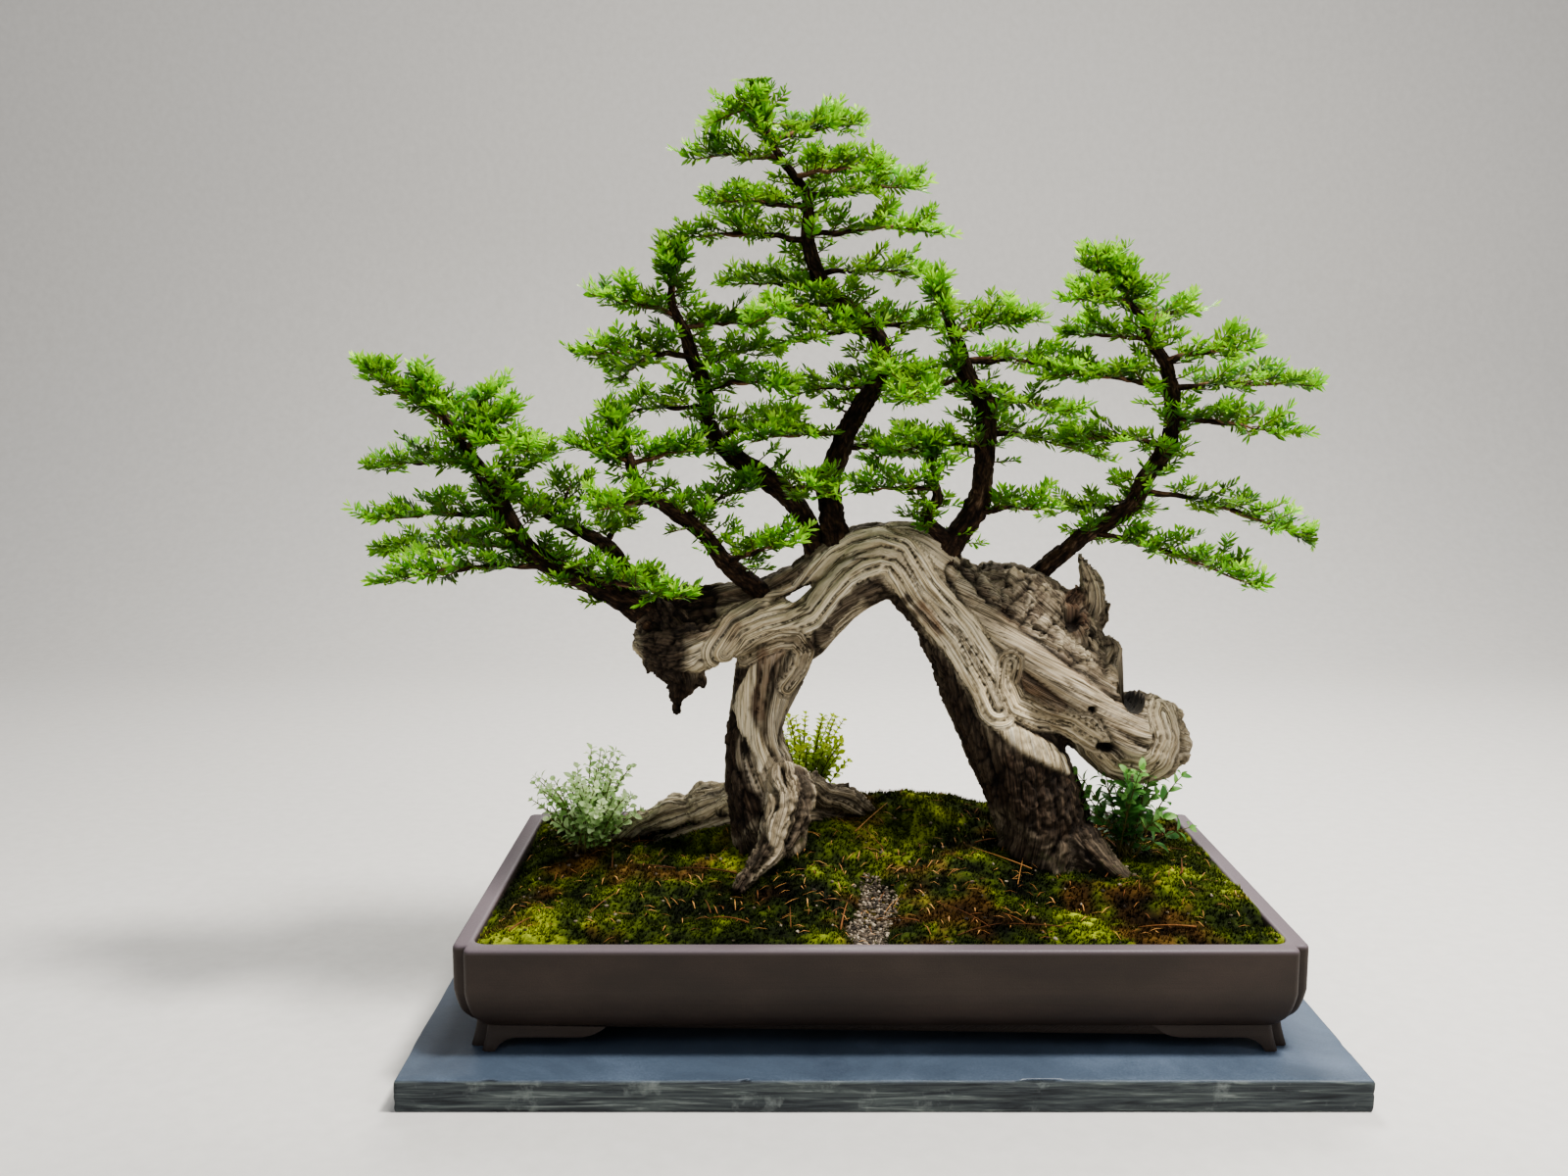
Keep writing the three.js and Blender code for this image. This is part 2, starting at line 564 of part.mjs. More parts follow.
// What already stands, so that new shoots grow clear of it
const standing = [];
function stand(body) {
  standing.push({ body, box: body.boundingBox() });
  return body;
}
function isClear(body) {
  const box = body.boundingBox();
  return standing.every(({ body: other, box: near }) => {
    const apart = [0, 1, 2].some((k) => box.min[k] > near.max[k] || near.min[k] > box.max[k]);
    return apart || other.intersect(body).isEmpty();
  });
}

// Tries a twig at several places and turns until it clears what stands
function clearTwig(makeCurve, kind, settings, random) {
  for (let attempt = 0; attempt < tries; attempt++) {
    const curve = makeCurve(attempt);
    const roll = settings.roll + (attempt === 0 ? 0 : (random() - 0.5) * 2.4);
    const seed = Math.floor(random() * 1e6);
    const build = (grow) => leafyTwig(curve, kind, { ...settings, roll, random: seededRandom(seed), grow });
    if (isClear(build(clearance))) return { row: build(0), curve };
  }
  return {};
}

// Side shoots that leave a twig alternately to the left and right, turned about it in turn
function sideShoots(curve, places, random) {
  const shoots = [];
  places.forEach((place, i) => {
    const at = place + 0.08 * random();
    const start = curve.getPoint(at);
    const forward = curve.getTangent(at).normalize();
    const level = forward.clone().cross(upright).normalize();
    const turn = i * Math.PI + (random() - 0.5) * 1.6;
    const reach = Math.min(shoot.length, shoot.share * curve.getLength()) * (0.8 + 0.4 * random());
    const makeCurve = (attempt) => {
      const out = level.clone().applyAxisAngle(forward, turn + attempt * 0.5);
      const way = forward.clone().multiplyScalar(Math.cos(shoot.spread)).addScaledVector(out, Math.sin(shoot.spread));
      way.z -= shoot.droop * random();
      return branchCurve(start, start.clone().addScaledVector(way.normalize(), reach));
    };
    const settings = { bare: shoot.bare, roll: Math.PI * (0.25 + 0.5 * random()) };
    const { row } = clearTwig(makeCurve, needles, settings, random);
    if (row) shoots.push(row);
  });
  return shoots;
}

// A twig with its side shoots. Where the place of its tip is taken, it bends past it.
function growTwig(start, tip, bare, places, random) {
  const makeCurve = (attempt) => {
    const aside = attempt * bend * (attempt % 2 ? 1 : -1);
    return branchCurve(start, tip.clone().add(new THREE.Vector3(0, aside, -0.3 * Math.abs(aside))));
  };
  const settings = { bare, roll: Math.PI * (0.3 + 0.3 * random()) };
  const { row, curve } = clearTwig(makeCurve, needles, settings, random);
  if (!row) throw new Error("a twig has no room at " + tip.toArray());
  const fewer = curve.getLength() < shortTwig.length && places.length > 1;
  return { curve, body: join([row, ...sideShoots(curve, fewer ? shortTwig.places : places, random)]) };
}

// The spray of one branch, starting just past the bare wood, with the fork's second twig if it has one
function makeSpray({ curve, from, second }, random) {
  const main = growTwig(curve.getPoint(from), curve.v2, shoot.bare, shoot.places, random);
  if (!second) return outerBody(main.body);
  const side = growTwig(main.curve.getPoint(shoot.fork), second, shoot.bare, shoot.places, random);
  return fuse([main.body, side.body]);
}

const draw = seededRandom(7);
const woodPieces = [];
const twigStarts = [];

// A live stem in wood up to its leader's foot, with the bare start of each branch, and the twigs to grow from them
function addTrunk({ line, leaderFrom, branches }) {
  const wooden = leaderFrom === undefined ? line : line.slice(0, leaderFrom + 1);
  woodPieces.push(limb(wooden, { sides: 6, flute: 0.06, twist: 0.2 }));
  return branches.map(([height, ...tips]) => {
    const curve = branchCurve(pointAtHeight(line, height), vector(tips));
    const share = branch.woodShare;
    const bare = [0, 1].map((part) => {
      const radius = THREE.MathUtils.lerp(branch.radius, branch.endRadius, part);
      return [...curve.getPoint(part * share).toArray(), radius];
    });
    woodPieces.push(limb(bare, { sides: 3 }));
    const second = tips.length > 3 ? vector(tips.slice(3)) : null;
    return { curve, second, from: share + twigGap / curve.getLength() };
  });
}

trunks.forEach((trunk, t) => twigStarts.push(...addTrunk(trunk).map((twigOf, i) => (
  { ...twigOf, name: `spray_${t + 1}_${i + 1}` }))));
forks.forEach((fork, f) => twigStarts.push(...addTrunk(fork).map((twigOf, i) => (
  { ...twigOf, name: `spray_fork_${f + 1}_${i + 1}` }))));

const oldWood = Object.entries(limbs);
oldWood.forEach(([, { line, ...form }]) => woodPieces.push(limb(line, form)));
const bite = new THREE.SphereGeometry(1, 9, 6).scale(...hollow.size).translate(hollow.x, hollow.y, hollow.z);
const wood = stand(outerBody(join(woodPieces).subtract(solid(bite))));

const inSoil = ["leftLeg", "rightLeg", "leftRoot", "rightRoot", "frontRoot", "heelRoot"];
const rootHoles = inSoil.map((name) => {
  const { line, ...form } = limbs[name];
  return limb(line, { ...form, grow: gap });
});

// A small plant: stems from one crown in a plain hole in the soil, with leaves in opposite pairs
function makeAccent({ x, y, stems, reach, height, length, width, spacing, seed }) {
  const random = seededRandom(seed);
  const ground = soilHeight(x, y);
  const kind = { ...leaf, length, width, spacing };
  const top = ground + crown.rise;
  const foot = [[x, y, ground - crown.depth, crown.radius], [x, y, top, crown.radius]];
  const pieces = [limb(foot, { sides: crown.sides })];
  for (let s = 0; s < stems; s++) {
    const angle = ((s + 0.6 * random()) / stems) * 2 * Math.PI;
    const out = reach * (0.5 + 0.5 * random());
    const rise = height * (0.6 + 0.4 * random());
    const start = new THREE.Vector3(x, y, top - 2);
    const makeCurve = (attempt) => {
      const way = angle + 0.25 * attempt;
      const tip = start.clone().add(new THREE.Vector3(out * Math.cos(way), 0.8 * out * Math.sin(way), rise));
      const middle = start.clone().lerp(tip, 0.5).add(new THREE.Vector3(0, 0, 0.15 * rise));
      return new THREE.QuadraticBezierCurve3(start, middle, tip);
    };
    const { row } = clearTwig(makeCurve, kind, { bare: 0.3 * height, roll: Math.PI * random() }, random);
    if (row) pieces.push(row);
  }
  return fuse(pieces);
}

function crownHole({ x, y }) {
  const ground = soilHeight(x, y);
  const radius = crown.radius + gap;
  const ends = [[x, y, ground - crown.depth - gap, radius], [x, y, ground + crown.depth, radius]];
  return limb(ends, { sides: crown.sides });
}

const soil = stand(makeSoil([...rootHoles, ...Object.values(accents).map(crownHole)]));

// A crown: the leader that carries the trunk on to its top, and the twigs round it. The leader's first stretch
// runs on straight, so that its foot lies flat on the trunk's end.
function makeTop({ line, leaderFrom, top: twigs }) {
  const end = vector(line[leaderFrom]);
  const along = end.clone().sub(vector(line[leaderFrom - 1])).normalize();
  const radius = line[leaderFrom][3] * leader.radiusShare;
  const foot = [twigGap, leader.foot].map((up) => [...end.clone().addScaledVector(along, up).toArray(), radius]);
  const stations = [...foot, ...line.slice(leaderFrom + 1)];
  const [below, top] = stations.slice(-2).map(vector);
  const rise = top.clone().sub(below).normalize();
  const start = top.clone().addScaledVector(rise, -tipShoot.sunk);
  const tip = top.clone().addScaledVector(rise, tipShoot.length);
  const up = growTwig(start, tip, shoot.bare, [], draw);
  const around = twigs.map(([height, ...aside], i) => {
    const bare = shoot.bare + line[leaderFrom][3] / 2;
    return growTwig(pointAtHeight(line, height), vector(aside), bare, i % 2 ? [] : shortTwig.places, draw);
  });
  return fuse([limb(stations, { sides: leader.sides }), up.body, ...around.map(({ body }) => body)]);
}

const part = new THREE.Group();

function addNode(name, body, look) {
  const mesh = new THREE.Mesh(geometryOf(body), new THREE.MeshStandardMaterial(look));
  mesh.name = name;
  part.add(mesh);
}

addNode("display_slab", makeSlab(), finish.slate);
addNode("pot", makePot(), finish.stoneware);
drainPlaces().forEach((x, i) => addNode(`drainage_screen_${i + 1}`, makeScreen(x), finish.plastic));
addNode("soil", soil, finish.soil);
addNode("trunk_and_branches", wood, finish.wood);
Object.entries(accents).forEach(([name, accent]) => addNode(name, stand(makeAccent(accent)), finish[name]));
trunks.forEach((trunk, t) => addNode(`crown_${t + 1}`, stand(makeTop(trunk)), finish.needles));
twigStarts.forEach((start) => addNode(start.name, stand(makeSpray(start, draw)), finish.needles));

export default part;
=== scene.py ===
# The coast redwood bonsai's looks: grooved dead wood, barked live trunks, sprays of fine needles, mossy soil,
# small plants, a stoneware pot and a slate slab. Lengths are in millimetres and become metres in each mesh.
import math

import bmesh
import bpy
import numpy as np
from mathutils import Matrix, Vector


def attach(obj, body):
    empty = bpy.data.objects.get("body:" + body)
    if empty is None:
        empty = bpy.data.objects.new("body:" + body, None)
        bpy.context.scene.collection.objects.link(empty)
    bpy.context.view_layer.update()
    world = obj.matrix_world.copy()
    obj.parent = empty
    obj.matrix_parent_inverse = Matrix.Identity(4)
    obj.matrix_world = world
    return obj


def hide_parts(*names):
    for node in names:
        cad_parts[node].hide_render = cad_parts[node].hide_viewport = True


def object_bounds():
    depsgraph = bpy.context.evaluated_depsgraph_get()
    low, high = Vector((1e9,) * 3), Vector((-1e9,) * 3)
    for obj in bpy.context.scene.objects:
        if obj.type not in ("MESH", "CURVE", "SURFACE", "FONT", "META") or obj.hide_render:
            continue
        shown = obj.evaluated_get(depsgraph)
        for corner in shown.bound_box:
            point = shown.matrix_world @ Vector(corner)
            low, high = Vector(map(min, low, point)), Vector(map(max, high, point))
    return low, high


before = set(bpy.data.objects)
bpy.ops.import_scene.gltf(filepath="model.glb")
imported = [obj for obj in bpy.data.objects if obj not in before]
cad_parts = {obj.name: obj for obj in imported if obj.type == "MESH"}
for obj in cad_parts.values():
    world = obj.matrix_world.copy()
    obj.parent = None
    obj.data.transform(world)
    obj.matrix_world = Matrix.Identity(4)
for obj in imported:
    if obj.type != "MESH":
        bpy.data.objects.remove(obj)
cad_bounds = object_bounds()

MM = 0.001
FLOAT_KIND = {1: ("FLOAT", "value"), 3: ("FLOAT_VECTOR", "vector")}
# A blade of five points: two at its foot, two at its middle and its tip
BLADE = np.array([[0, 1, 3], [0, 3, 2], [2, 3, 4]])
# Higher than anything here
NO_LIMIT = 999


# Meshes and numbers

def set_values(mesh, values):
    """One number or vector at each point, kept in the mesh under its name."""
    for key, value in values.items():
        value = np.asarray(value, np.float32)
        kind, field = FLOAT_KIND[1 if value.ndim == 1 else 3]
        mesh.attributes.new(key, kind, "POINT").data.foreach_set(field, value.ravel())


def get_vectors(mesh, field):
    """The points or normals of a mesh, one row each."""
    values = np.zeros(len(mesh.vertices) * 3, np.float32)
    mesh.vertices.foreach_get(field, values)
    return values.reshape(-1, 3)


def link_object(name, mesh):
    made = bpy.data.objects.new(name, mesh)
    bpy.context.scene.collection.objects.link(made)
    return made


def loose_object(name, points, faces):
    """An object from points and from faces with any number of corners."""
    mesh = bpy.data.meshes.new(name)
    mesh.from_pydata([tuple(p) for p in np.asarray(points, float) * MM], [], faces)
    mesh.update()
    return link_object(name, mesh)


def dress(piece, materials, replaced=()):
    """Gives a piece its materials, says what it rides on, and hides the CAD nodes that it stands for."""
    for material in materials:
        piece.data.materials.append(material)
    piece.data.shade_smooth()
    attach(piece, "root")
    if replaced:
        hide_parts(*replaced)


def add_piece(name, points, faces, materials, replaced=(), values=None, face_material=None):
    """A piece whose faces all have equally many corners."""
    mesh = bpy.data.meshes.new(name)
    faces = np.ascontiguousarray(faces, np.int32)
    mesh.vertices.add(len(points))
    mesh.vertices.foreach_set("co", (np.asarray(points, float) * MM).astype(np.float32).ravel())
    mesh.loops.add(faces.size)
    mesh.loops.foreach_set("vertex_index", faces.ravel())
    mesh.polygons.add(len(faces))
    mesh.polygons.foreach_set("loop_start", np.arange(0, faces.size, faces.shape[1], dtype=np.int32))
    if face_material is not None:
        mesh.polygons.foreach_set("material_index", np.asarray(face_material, np.int32))
    mesh.update(calc_edges=True)
    set_values(mesh, values or {})
    mesh.validate()
    piece = link_object(name, mesh)
    dress(piece, materials, replaced)


def cell_hash(x, y, z, seed):
    """A number from 0 to 1 for each cell of whole numbers."""
    h = (x * 374761393 + y * 668265263 + z * 1440662683 + seed * 974634777) & 0xFFFFFFFF
    h = ((h ^ (h >> 13)) * 1274126177) & 0xFFFFFFFF
    h = ((h ^ (h >> 15)) * 2246822519) & 0xFFFFFFFF
    return ((h ^ (h >> 16)) & 0xFFFFFF) / float(0xFFFFFF)


def noise(p, seed=0):
    """Smooth value noise from -1 to 1 at each row of p."""
    p = np.asarray(p, float)
    cell = np.floor(p).astype(np.int64)
    f = p - cell
    f = f * f * (3 - 2 * f)
    total = np.zeros(len(p))
    for i in (0, 1):
        for j in (0, 1):
            for k in (0, 1):
                share = (f[:, 0] if i else 1 - f[:, 0]) * (f[:, 1] if j else 1 - f[:, 1])
                share = share * (f[:, 2] if k else 1 - f[:, 2])
                total += share * cell_hash(cell[:, 0] + i, cell[:, 1] + j, cell[:, 2] + k, seed)
    return 2 * total - 1


def layered(p, seed=0, layers=3):
    """Noise in layers, each twice as fine and half as strong as the one before."""
    total = np.zeros(len(p))
    size = 1.0
    for layer in range(layers):
        total += size * noise(p * 2.03 ** layer, seed + 17 * layer)
        size *= 0.5
    return total / (2 - 2 * size)


def plates(p, seed):
    """Flakes: the distance to a flake's edge, and the flake's own level."""
    cell = np.floor(p).astype(np.int64)
    first = np.full(len(p), 9.0)
    second = np.full(len(p), 9.0)
    level = np.zeros(len(p))
    for i in (-1, 0, 1):
        for j in (-1, 0, 1):
            for k in (-1, 0, 1):
                x, y, z = cell[:, 0] + i, cell[:, 1] + j, cell[:, 2] + k
                spot = np.stack([x + cell_hash(x, y, z, seed), y + cell_hash(x, y, z, seed + 1),
                                 z + cell_hash(x, y, z, seed + 2)], 1)
                far = np.linalg.norm(p - spot, axis=1)
                closer = far < first
                second = np.where(closer, first, np.minimum(second, far))
                level = np.where(closer, cell_hash(x, y, z, seed + 3), level)
                first = np.where(closer, far, first)
    return second - first, level


def smoothstep(x, low, high):
    t = np.clip((x - low) / (high - low), 0, 1)
    return t * t * (3 - 2 * t)


def fade(x, low, high):
    """1 below low, 0 above high."""
    return 1 - smoothstep(x, low, high)


def bell(dx, dy):
    return np.exp(-dx * dx - dy * dy)


def unit(v):
    return v / np.maximum(np.linalg.norm(v, axis=-1, keepdims=True), 1e-9)


def turn_about(v, axis, angle):
    """v turned about a unit axis."""
    return (v * np.cos(angle) + np.cross(axis, v) * np.sin(angle)
            + axis * np.sum(v * axis, -1, keepdims=True) * (1 - np.cos(angle)))


def grid_faces(rows, columns, closed=False):
    """Quads of a grid of points, row by row. A closed grid joins the last column to the first."""
    r = np.arange(rows - 1)[:, None]
    c = np.arange(columns if closed else columns - 1)[None, :]
    a = r * columns + c
    b = r * columns + (c + 1) % columns
    return np.stack([a, b, b + columns, a + columns], -1).reshape(-1, 4).astype(np.int64)


def triangles(quads, extra=None):
    halves = [quads[:, [0, 1, 2]], quads[:, [0, 2, 3]]]
    return np.vstack(halves if extra is None else halves + [extra])


# Materials

def rgb(code):
    """A colour given as its six hexadecimal digits, as linear light."""
    parts = [((code >> shift) & 255) / 255 for shift in (16, 8, 0)]
    return tuple(c / 12.92 if c <= 0.04045 else ((c + 0.055) / 1.055) ** 2.4 for c in parts)


def colours(*stops):
    return [(place, rgb(code)) for place, code in stops]


def greys(*stops):
    return [(place, (level,) * 3) for place, level in stops]


# The places of the colours among the sockets of a mix node
COLOURS_IN, COLOUR_OUT = slice(6, 8), 2


class Look:
    """A material in the making: its nodes, and its shader with the roughness and gloss set on it."""

    def __init__(self, name, roughness, specular=0.3):
        self.material = bpy.data.materials.new(name)
        self.material.use_nodes = True
        self.tree = self.material.node_tree
        self.shader = self.tree.nodes["Principled BSDF"]
        self.shader.inputs["Roughness"].default_value = roughness
        self.shader.inputs["Specular IOR Level"].default_value = specular

    def node(self, kind, *values, **settings):
        """A new node. Its first inputs take the values, which are other nodes' outputs, numbers or colours."""
        made = self.tree.nodes.new(kind)
        for key, value in settings.items():
            setattr(made, key, value)
        for socket, value in zip(made.inputs, values):
            self.give(socket, value)
        return made

    def give(self, socket, value):
        if isinstance(value, bpy.types.NodeSocket):
            self.tree.links.new(value, socket)
        else:
            socket.default_value = value

    def mark(self, name):
        """The number that each point of the mesh carries under a name."""
        return self.node("ShaderNodeAttribute", attribute_name=name).outputs["Fac"]

    def stretched(self, vector, scale):
        made = self.node("ShaderNodeMapping", vector)
        made.inputs["Scale"].default_value = scale
        return made.outputs["Vector"]

    def place(self, scale=(1, 1, 1)):
        return self.stretched(self.node("ShaderNodeTexCoord").outputs["Object"], scale)

    def along_flow(self, scale):
        """Coordinates that follow the grain of the wood."""
        return self.stretched(self.node("ShaderNodeAttribute", attribute_name="flow").outputs["Vector"], scale)

    def noise(self, at, scale, detail=4, rough=0.55, distortion=0.0):
        made = self.node("ShaderNodeTexNoise")
        self.tree.links.new(at, made.inputs["Vector"])
        settings = {"Scale": scale, "Detail": detail, "Roughness": rough, "Distortion": distortion}
        for key, value in settings.items():
            made.inputs[key].default_value = value
        return made.outputs["Fac"]

    def math(self, operation, *values, clamp=False):
        return self.node("ShaderNodeMath", *values, operation=operation, use_clamp=clamp).outputs[0]

    def sum(self, first, share, second, other_share):
        return self.math("MULTIPLY_ADD", first, share, self.math("MULTIPLY", second, other_share))

    def vary(self, value, by, share, clamp=True):
        """A value made lower and higher by a texture around 0.5."""
        return self.math("MULTIPLY_ADD", by, share, self.math("SUBTRACT", value, share / 2), clamp=clamp)

    def ramp(self, value, stops):
        """A colour ramp. Each stop is its place and its colour."""
        made = self.node("ShaderNodeValToRGB", value)
        elements = made.color_ramp.elements
        while len(elements) < len(stops):
            elements.new(0.5)
        for element, (place, colour) in zip(elements, stops):
            element.position = place
            element.color = (*colour, 1)
        return made.outputs["Color"]

    def mix(self, share, first, second):
        """Colours mixed. Each is an output or a colour, and share is an output or a number."""
        first, second = ((*c, 1) if isinstance(c, tuple) else c for c in (first, second))
        made = self.node("ShaderNodeMix", share, data_type="RGBA")
        for socket, value in zip(made.inputs[COLOURS_IN], (first, second)):
            self.give(socket, value)
        return made.outputs[COLOUR_OUT]

    def bump(self, height, strength, distance, normal=None):
        made = self.node("ShaderNodeBump")
        made.inputs["Strength"].default_value = strength
        made.inputs["Distance"].default_value = distance
        self.tree.links.new(height, made.inputs["Height"])
        if normal is not None:
            self.tree.links.new(normal, made.inputs["Normal"])
        return made.outputs["Normal"]

    def finish(self, **sockets):
        """Links the shader's inputs and returns the material."""
        for key, value in sockets.items():
            self.tree.links.new(value, self.shader.inputs[key.replace("_", " ")])
        return self.material


def wood_material():
    """Weathered wood: grain along the flow, bleached or grey, with bark, cracks, painted shade in its hollows
    and red-brown streaks.
    """
    look = Look("weathered_wood", 0.8, 0.2)
    fine = look.noise(look.along_flow((24, 620, 620)), 1, 5, 0.7, 0.5)
    broad = look.noise(look.along_flow((10, 170, 170)), 1, 4, 0.6, 1.4)
    patch = look.noise(look.place(), 30, 4, 0.65)
    grain = look.sum(fine, 0.55, broad, 0.45)
    line = look.noise(look.along_flow((7, 150, 150)), 1, 3, 0.6, 0.8)
    line = look.math("ABSOLUTE", look.math("SUBTRACT", line, 0.5))
    line = look.ramp(line, greys((0.0, 1.0), (0.012, 0.75), (0.035, 0.0)))
    pale = look.ramp(grain, colours(
        (0.30, 0x5C4D3A), (0.39, 0xA29070), (0.47, 0xD2C19E), (0.57, 0xEADDC0), (0.70, 0xF9F2E2)))
    grey = look.ramp(grain, colours((0.30, 0x231C15), (0.42, 0x4A3F33), (0.54, 0x756755), (0.68, 0xA19380)))
    bark = look.ramp(grain, colours((0.32, 0x0F0B08), (0.44, 0x2A1F17), (0.56, 0x4A392B), (0.72, 0x75604B)))
    whitish = look.math("MULTIPLY_ADD", patch, 0.9, look.math("SUBTRACT", look.mark("pale"), 0.42), clamp=True)
    colour = look.mix(whitish, grey, pale)
    streak = look.math("MULTIPLY", look.mark("red"), look.ramp(patch, greys((0.35, 0.25), (0.65, 1.0))))
    colour = look.mix(streak, colour, rgb(0x6E4630))
    bark = look.mix(look.math("MULTIPLY", look.mark("pale"), 0.6), bark, grey)
    colour = look.mix(look.mark("bark"), colour, bark)
    spots = look.ramp(look.noise(look.place(), 90, 3, 0.7), greys((0.5, 0.0), (0.66, 1.0)))
    colour = look.mix(look.math("MULTIPLY", look.mark("green"), spots), colour, rgb(0x39431A))
    colour = look.mix(look.math("MULTIPLY", line, 0.8), colour, rgb(0x1A130D))
    # Cracks, and painted shade in the hollows, in nearly black
    colour = look.mix(look.mark("crack"), colour, rgb(0x120D09))
    normal = look.bump(broad, 0.7, 0.0025, look.bump(fine, 0.6, 0.0010))
    return look.finish(Base_Color=colour, Normal=normal)


def bark_material(name, stops):
    """Live bark: fibrous brown with greyer flakes and nearly black cracks."""
    look = Look(name, 0.88, 0.15)
    fine = look.noise(look.along_flow((110, 520, 520)), 1, 5, 0.7, 0.6)
    broad = look.noise(look.along_flow((50, 190, 190)), 1, 3, 0.6, 0.8)
    grain = look.sum(fine, 0.5, broad, 0.5)
    colour = look.mix(look.mark("crack"), look.ramp(grain, stops), rgb(0x090604))
    return look.finish(Base_Color=colour, Normal=look.bump(grain, 0.9, 0.002))


def leaf_material(name, stops, glow, roughness=0.45, share=0.35):
    """Leaves: a colour by age, varied from leaf to leaf, that light shines through."""
    look = Look(name, roughness, 0.35)
    shade = look.vary(look.mark("age"), look.mark("tone"), 0.3, clamp=False)
    colour = look.ramp(look.vary(shade, look.noise(look.place(), 240, 2), 0.16), stops)
    through = look.node("ShaderNodeBsdfTranslucent", look.mix(0.6, colour, glow))
    both = look.node("ShaderNodeMixShader", share, look.shader.outputs[0], through.outputs[0])
    look.tree.links.new(both.outputs[0], look.tree.nodes["Material Output"].inputs["Surface"])
    return look.finish(Base_Color=colour)


def moss_material():
    """Moss from dark to yellow green, with rusty patches, over brown soil."""
    look = Look("moss_and_soil", 0.95, 0.1)
    speck = look.noise(look.place(), 420, 3, 0.7)
    shade = look.vary(look.mark("tone"), speck, 0.5)
    green = look.ramp(shade, colours(
        (0.05, 0x0A0C05), (0.28, 0x1F270C), (0.5, 0x3E4916), (0.74, 0x737E28), (1.0, 0xB4BD44)))
    brown = look.ramp(shade, colours((0.05, 0x120B05), (0.4, 0x3A2611), (0.7, 0x604322), (1.0, 0x94703C)))
    colour = look.mix(look.mark("rust"), green, brown)
    return look.finish(Base_Color=colour, Normal=look.bump(speck, 0.7, 0.0015))


def grain_material(name, roughness, specular, scale, detail, rough, stops):
    """Loose grains and needles: a tone each, finely specked."""
    look = Look(name, roughness, specular)
    shade = look.vary(look.mark("tone"), look.noise(look.place(), scale, detail, rough), 0.3)
    return look.finish(Base_Color=look.ramp(shade, stops))


def clay_material():
    """Unglazed clay: dark brown, finely speckled, with faint horizontal smoothing marks, and a painted
    lavender-grey sheen on the top of the rim.
    """
    look = Look("unglazed_clay", 0.52, 0.4)
    cloud = look.noise(look.place((6, 6, 14)), 1, 4, 0.6)
    speck = look.noise(look.place(), 750, 3, 0.7)
    marks = look.noise(look.place((9, 9, 420)), 1, 3, 0.6)
    stops = colours((0.3, 0x231B17), (0.5, 0x30261F), (0.7, 0x40342C))
    colour = look.ramp(look.sum(speck, 0.35, cloud, 0.65), stops)
    # Painted sheen: the top of the rim is made lighter and lavender-grey
    colour = look.mix(look.math("MULTIPLY", look.mark("rim"), 0.55), colour, rgb(0x7B7078))
    return look.finish(Base_Color=colour, Roughness=look.ramp(speck, greys((0.3, 0.44), (0.7, 0.62))),
                       Normal=look.bump(marks, 0.2, 0.0008, look.bump(speck, 0.25, 0.0006)))


def slate_material():
    """Slate: blue-grey and smoothly riven on top, rough and mottled grey-green with pale marks at the edge."""
    look = Look("slate", 0.42, 0.45)
    edge = look.mark("edge")
    cloud = look.noise(look.place(), 7, 5, 0.6, 0.6)
    layers = look.noise(look.place((14, 14, 260)), 1, 5, 0.65, 0.7)
    speck = look.noise(look.place(), 520, 3, 0.7)
    blue = colours((0.32, 0x36404E), (0.5, 0x485463), (0.68, 0x606D7F))
    top = look.ramp(look.sum(speck, 0.3, cloud, 0.7), blue)
    side = look.ramp(layers, colours((0.3, 0x1B1E21), (0.45, 0x34393C), (0.58, 0x4D5453), (0.7, 0x7C837F)))
    blotch = look.ramp(look.noise(look.place(), 30, 5, 0.7), greys((0.56, 0.0), (0.72, 0.6)))
    side = look.mix(blotch, side, rgb(0x8D9490))
    rough = look.ramp(speck, greys((0.3, 0.38), (0.7, 0.5)))
    relief = look.bump(look.mix(edge, cloud, layers), 0.35, 0.003)
    return look.finish(Base_Color=look.mix(edge, top, side), Roughness=look.mix(edge, rough, (0.8,) * 3),
                       Normal=look.bump(speck, 0.3, 0.0005, relief))


def screen_material():
    look = Look("screen_plastic", 0.55, 0.4)
    speck = look.noise(look.place(), 900, 2)
    return look.finish(Base_Color=look.ramp(speck, colours((0.3, 0x151515), (0.7, 0x262624))),
                       Normal=look.bump(speck, 0.3, 0.0003))


WOOD = wood_material()
BARK = bark_material("live_bark", colours(
    (0.34, 0x0E0A07), (0.46, 0x2A1E16), (0.56, 0x4A3727), (0.70, 0x86705A)))
TWIG = bark_material("twig_bark", colours(
    (0.30, 0x2A1B13), (0.44, 0x543A2A), (0.58, 0x7F6048), (0.72, 0xA98D72)))
NEEDLES = leaf_material("redwood_needles", colours(
    (0.0, 0x0A1607), (0.25, 0x18330F), (0.48, 0x306A1A), (0.72, 0x68B32A), (1.0, 0xC6F062)),
    (0.46, 0.85, 0.07), share=0.36)
MOSS = moss_material()
GRAVEL = grain_material("gravel", 0.85, 0.3, 900, 3, 0.7, colours(
    (0.0, 0x1C1712), (0.35, 0x40372C), (0.7, 0x6C6052), (1.0, 0x9C907E)))
LITTER = grain_material("litter", 0.8, 0.2, 500, 2, 0.55, colours(
    (0.0, 0x2C1B10), (0.5, 0x744A28), (1.0, 0xB98A52)))
CLAY = clay_material()
SLATE = slate_material()
SCREEN = screen_material()


# The slab

SLAB = {"length": 775.0, "width": 480.0, "thickness": 27.0, "spacing": 4.0}
# Rings of the slab from its underside to its top: how far in, and height
SLAB_RINGS = [(10, 0), (1.6, 0), (0.3, 1.4), (0, 4), (0, 7), (0, 10), (0, 13), (0, 16), (0, 19), (0, 22),
              (0, 24.4), (0.7, 26.2), (2.0, 27), (5, 27), (12, 27), (30, 27), (70, 27)]


